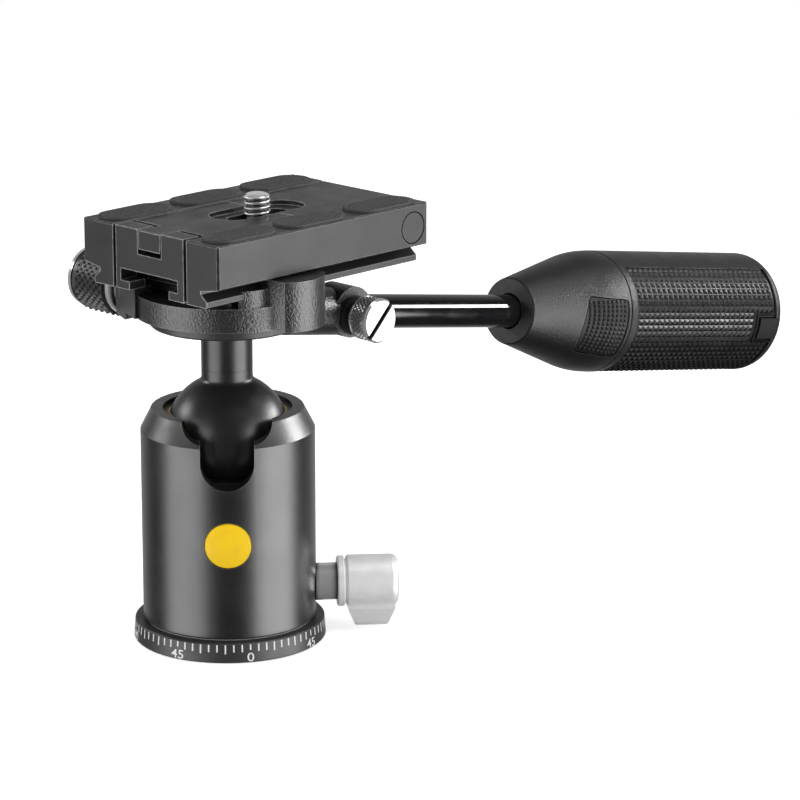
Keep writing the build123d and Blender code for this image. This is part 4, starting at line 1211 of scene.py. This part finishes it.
@dataclass
class PinGapShadow:
    """Painted shadow of the fine gap between the plate's sides and its pivot pins, laid as flat
    dark rings. Millimetres.
    """

    x: float = 39.95
    z: float = 95.6
    plate_y: float = 1.08
    reach: float = 22.87
    inner: float = 3.60
    outer: float = 3.96
    steps: int = 96

    def build(self) -> None:
        """Makes both rings as one piece."""
        points, faces = [], []
        for side in (-1, 1):
            first = len(points)
            for i in range(self.steps):
                turn = math.tau * i / self.steps
                for radius in (self.inner, self.outer):
                    x, z = self.x + radius * math.cos(turn), self.z + radius * math.sin(turn)
                    points.append((x, self.plate_y + side * self.reach, z))
            for i in range(self.steps):
                a, b = first + 2 * i, first + 2 * ((i + 1) % self.steps)
                ring = (a, a + 1, b + 1, b)
                faces.append(ring if side < 0 else tuple(reversed(ring)))
        mesh = shape("pivot_pin_gap_shadows", points, faces)
        mesh.transform(Matrix.Scale(MM, 4))
        settle("pivot_pin_gap_shadows", mesh, Body.PLATE, "plate_black", JOINT_SHADOW)


# ---------------------------------------------------------------- camera screw
@dataclass
class CameraScrew:
    """Camera screw with its real thread, neck and slotted head. Lengths in millimetres."""

    x: float = 11.2
    y: float = 1.08
    major: float = 3.15
    minor: float = 2.52
    pitch: float = 1.27
    sharpness: float = 1.4
    thread_low: float = 99.9
    thread_gap: float = 0.05
    tip: float = 105.13
    dome: float = 1.1
    dome_curve: float = 0.82
    neck: float = 2.58
    head_low: float = 91.2
    head_high: float = 95.3
    head_radius: float = 5.38
    low_bevel: float = 0.3
    high_bevel: float = 0.2
    slot_length: float = 14.0
    slot_width: float = 1.4
    slot_depth: float = 1.4
    steps: int = 72
    level_step: float = 0.06
    flat_from: float = 0.98

    def limit(self, z: float) -> float:
        """Finds the screw's largest radius, before the thread is cut.

        Args:
            z: Height.

        Returns:
            The radius there.
        """
        if z < self.thread_low:
            return self.neck
        if z > self.tip - self.dome:
            share = (z - (self.tip - self.dome)) / self.dome
            return self.major * math.sqrt(max(0.0, 1.0 - self.dome_curve * share * share))
        return self.major

    def thread(self, z: float, turn: float) -> float:
        """Finds the radius of the threaded part.

        Args:
            z: Height.
            turn: Angle in radians.

        Returns:
            The radius there.
        """
        phase = (z / self.pitch - turn / math.tau) % 1.0
        valley = (0.5 + 0.5 * math.cos(math.tau * phase)) ** self.sharpness
        return min(self.limit(z), self.major - (self.major - self.minor) * valley)

    def levels(self) -> list[tuple[float, list[float]]]:
        """Describes the screw ring by ring, from the head up.

        Returns:
            Height of each ring, and its radius at each step round.
        """
        plain = [
            (self.head_low, self.head_radius - self.low_bevel),
            (self.head_low + self.low_bevel, self.head_radius),
            (self.head_high - self.high_bevel, self.head_radius),
            (self.head_high, self.head_radius - self.high_bevel),
            (self.head_high, self.neck), (self.thread_low - self.thread_gap, self.neck),
        ]
        found = [(z, [radius] * self.steps) for z, radius in plain]
        count = int((self.tip - self.thread_low) / self.level_step)
        for level in range(count + 1):
            z = self.thread_low + (self.tip - self.thread_low) * level / count
            found.append((z, [self.thread(z, turn) for turn in self.turns()]))
        return found

    def turns(self) -> list[float]:
        """Angles of the steps round the screw."""
        return [math.tau * i / self.steps for i in range(self.steps)]

    def blank(self) -> bpy.types.Mesh:
        """Makes the screw without its slot.

        Returns:
            The screw, in millimetres about its own axis.
        """
        sheet = bmesh.new()
        rings = [
            [
                sheet.verts.new((radius * math.cos(turn), radius * math.sin(turn), z))
                for radius, turn in zip(radii, self.turns())
            ]
            for z, radii in self.levels()
        ]
        for low, high in zip(rings, rings[1:]):
            for i in range(self.steps):
                j = (i + 1) % self.steps
                sheet.faces.new((low[i], low[j], high[j], high[i]))
        sheet.faces.new(list(reversed(rings[0])))
        sheet.faces.new(rings[-1])
        bmesh.ops.recalc_face_normals(sheet, faces=sheet.faces)
        return written(sheet, "screw_blank")

    def slotted(self, mesh: bpy.types.Mesh) -> bpy.types.Mesh:
        """Cuts the screwdriver slot in the head.

        Args:
            mesh: The screw, in millimetres about its own axis.

        Returns:
            The screw with its slot.
        """
        bar = bmesh.new()
        bmesh.ops.create_cube(bar, size=1.0)
        size = (self.slot_length, self.slot_width, 2 * self.slot_depth)
        bmesh.ops.scale(bar, vec=size, verts=bar.verts)
        bmesh.ops.translate(bar, vec=(0.0, 0.0, self.head_low), verts=bar.verts)
        screw = bpy.data.objects.new("threaded_camera_screw", mesh)
        cutter = bpy.data.objects.new("slot_cutter", written(bar, "slot_cutter"))
        for item in (screw, cutter):
            bpy.context.scene.collection.objects.link(item)
        cut = screw.modifiers.new("slot", "BOOLEAN")
        cut.operation = "DIFFERENCE"
        cut.solver = "EXACT"
        cut.object = cutter
        result = flattened(screw)
        bpy.data.objects.remove(cutter)
        return result

    def build(self) -> None:
        """Makes the screw and lets it stand for the plain one."""
        mesh = self.slotted(self.blank())
        mesh.transform(
            Matrix.Translation((self.x * MM, self.y * MM, 0.0)) @ Matrix.Scale(MM, 4)
        )
        smooth = [abs(face.normal.z) < self.flat_from for face in mesh.polygons]
        mesh.polygons.foreach_set("use_smooth", smooth)
        piece = settle("threaded_camera_screw", mesh, Body.CAMERA_SCREW, "bright_steel")
        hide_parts("camera_screw")


# ---------------------------------------------------------------- studio
class Reach(Enum):
    """What a lamp adds: light on the surfaces, or its mirror image in them."""

    LIGHT = "light"
    IMAGE = "image"


@dataclass(frozen=True)
class Softbox:
    """One soft lamp, placed by its direction from the middle of the head. Lengths in metres."""

    name: str
    azimuth: float
    elevation: float
    distance: float
    width: float
    height: float
    power: float
    reach: Reach = Reach.LIGHT

    def build(self, target: Vector) -> None:
        """Sets the lamp up.

        Args:
            target: The point that it faces.
        """
        lamp = bpy.data.lights.new(self.name, "AREA")
        lamp.shape = "RECTANGLE"
        lamp.size = self.width
        lamp.size_y = self.height
        lamp.energy = self.power
        turn, rise = math.radians(self.azimuth), math.radians(self.elevation)
        flat = math.cos(rise)
        away = Vector((math.cos(turn) * flat, math.sin(turn) * flat, math.sin(rise)))
        holder = bpy.data.objects.new(self.name, lamp)
        bpy.context.scene.collection.objects.link(holder)
        holder.location = target + away * self.distance
        holder.rotation_mode = "QUATERNION"
        holder.rotation_quaternion = (-away).to_track_quat("-Z", "Y")
        holder.visible_diffuse = self.reach is Reach.LIGHT
        holder.visible_glossy = self.reach is Reach.IMAGE
        holder.visible_camera = False


@dataclass
class Studio:
    """Plain pale floor, soft lamps, white surroundings and the camera. Metres and degrees."""

    target: Vector = field(default_factory=lambda: Vector((0.03, 0.0, 0.05)))
    camera_place: tuple[float, float, float] = (-0.5851, -0.62586, 0.28983)
    camera_drop: float = 15.2003
    camera_turn: float = -45.7755
    lens_length: float = 170.43
    sensor_width: float = 36.0
    clip: Pair = (0.01, 20.0)
    floor_place: tuple[float, float, float] = (0.03, 0.0, -0.0002)
    floor_radius: float = 0.6
    floor_steps: int = 96
    floor_tone: float = 0.9
    floor_roughness: float = 0.9
    floor_glow: float = 0.6
    background_azimuth: float = 46.9
    background_band: Pair = (0.45, 0.95)
    background_levels: Pair = (0.02, 0.7)
    horizon_band: Pair = (-0.15, 0.10)
    horizon_levels: Pair = (1.0, 0.60)
    fill_level: float = 0.5
    softboxes: tuple[Softbox, ...] = (
        Softbox("left_fill", 150.0, 25.0, 0.8, 0.5, 0.7, 2.0),
        Softbox("right_fill", -75.0, 25.0, 0.8, 0.5, 0.7, 2.2),
        Softbox("top_fill", -100.0, 80.0, 0.8, 0.6, 0.6, 2.4),
        Softbox("left_strip", 167.0, -8.0, 0.8, 0.78, 0.9, 7.0, Reach.IMAGE),
        Softbox("right_strip", -71.0, -8.0, 0.8, 0.83, 0.9, 11.3, Reach.IMAGE),
        Softbox("edge_strip", -26.0, 19.0, 0.8, 0.40, 0.13, 4.0, Reach.IMAGE),
        Softbox("left_spot", 120.0, 24.0, 0.8, 0.30, 0.16, 1.5, Reach.IMAGE),
        Softbox("top_strip", -60.0, 62.0, 0.8, 0.5, 0.25, 2.2, Reach.IMAGE),
    )

    def camera(self) -> None:
        """Sets the camera."""
        lens = bpy.data.cameras.new("camera")
        lens.lens = self.lens_length
        lens.sensor_width = self.sensor_width
        lens.clip_start, lens.clip_end = self.clip
        holder = bpy.data.objects.new("camera", lens)
        bpy.context.scene.collection.objects.link(holder)
        holder.location = self.camera_place
        tilt, turn = math.radians(90.0 - self.camera_drop), math.radians(self.camera_turn)
        holder.rotation_euler = (tilt, 0.0, turn)
        bpy.context.scene.camera = holder

    def floor(self) -> None:
        """Lays a white floor that keeps a soft shadow and is not mirrored in the head."""
        sheet = bmesh.new()
        bmesh.ops.create_circle(
            sheet, cap_ends=True, segments=self.floor_steps, radius=self.floor_radius
        )
        mesh = written(sheet, "floor")
        mesh.transform(Matrix.Translation(self.floor_place))
        ground = bpy.data.objects.new("floor", mesh)
        bpy.context.scene.collection.objects.link(ground)
        ground.visible_glossy = False
        ground.visible_shadow = False
        material = bpy.data.materials.new("pale_floor")
        material.use_nodes = True
        nodes = NodeSheet(material.node_tree)
        shader = material.node_tree.nodes["Principled BSDF"]
        shader.inputs["Base Color"].default_value = (*[self.floor_tone] * 3, 1.0)
        shader.inputs["Roughness"].default_value = self.floor_roughness
        shader.inputs["Specular IOR Level"].default_value = 0.0
        shader.inputs["Emission Color"].default_value = WHITE
        seen = nodes.add("ShaderNodeLightPath").outputs["Is Camera Ray"]
        glow = nodes.calc("MULTIPLY", seen, self.floor_glow)
        nodes.feed(shader.inputs["Emission Strength"], glow)
        mesh.materials.append(material)

    def world(self) -> None:
        """Surrounds the head with white for what is seen, and softer light for what is lit."""
        world = bpy.data.worlds.new("surroundings")
        bpy.context.scene.world = world
        world.use_nodes = True
        sheet = NodeSheet(world.node_tree)
        ground = world.node_tree.nodes["Background"]
        ground.inputs["Color"].default_value = WHITE
        path = sheet.add("ShaderNodeLightPath").outputs
        direct = sheet.calc("MAXIMUM", path["Is Camera Ray"], path["Is Transmission Ray"])
        where = sheet.add("ShaderNodeTexCoord").outputs["Generated"]
        turn = math.radians(self.background_azimuth)
        towards = (math.cos(turn), math.sin(turn), 0.0)
        facing = sheet.across("DOT_PRODUCT", where, towards, "Value")
        behind = sheet.span(facing, self.background_band, self.background_levels)
        low = sheet.span(sheet.apart(where)[2], self.horizon_band, self.horizon_levels)
        shown = sheet.calc("MULTIPLY", behind, low)
        mirrored = sheet.calc("MULTIPLY", path["Is Glossy Ray"], shown)
        sharp = sheet.calc("MAXIMUM", direct, path["Is Glossy Ray"])
        lit = sheet.calc("MULTIPLY", sheet.calc("SUBTRACT", 1.0, sharp), self.fill_level)
        strength = sheet.calc("ADD", sheet.calc("MAXIMUM", direct, mirrored), lit)
        sheet.feed(ground.inputs["Strength"], strength)

    def build(self) -> None:
        """Sets up floor, surroundings, lamps, camera and plain view settings."""
        bpy.context.scene.view_settings.view_transform = "Standard"
        self.camera()
        self.floor()
        self.world()
        for box in self.softboxes:
            box.build(self.target)


# ---------------------------------------------------------------- the whole head
def dress_frame() -> None:
    """Gives every solid of the frame the finish of its material slot."""
    slots = {row["node"]: row["material_slot"] for row in frame["record"]["subparts"]}
    for name, node in sorted(frame["nodes"].items()):
        material = FINISHES[slots[name]].material()
        node.data.materials.clear()
        node.data.materials.append(material)
        log.info("%s: %s", name, material.name)


def main() -> None:
    """Builds the light, dresses the frame and adds the pieces in order."""
    logging.basicConfig(level=logging.INFO, format="%(name)s: %(message)s")
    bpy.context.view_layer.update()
    Studio().build()
    dress_frame()
    pattern = WrappedPattern()
    PanningBase(pattern).build()
    Collar(PAN).build()
    Knurl(
        pattern, "clamp_knob_knurl", CLAMP, Body.CLAMP_KNOB, "knob_black", radius=7.58,
        start=26.1, end=36.6, teeth_round=30, tooth_length=2.0, height=0.42,
    ).build()
    Knurl(
        pattern, "thumbscrew_knurl", THUMB, Body.THUMBSCREW, "bright_steel", radius=5.03,
        start=9.4, end=13.6, teeth_round=34, tooth_length=1.2, height=0.33,
    ).build()
    Grip(pattern).build()
    ThumbRest(pattern).build()
    QuickPlate(RibField()).build()
    PinGapShadow().build()
    CameraScrew().build()


if __name__ == "__main__":
    main()
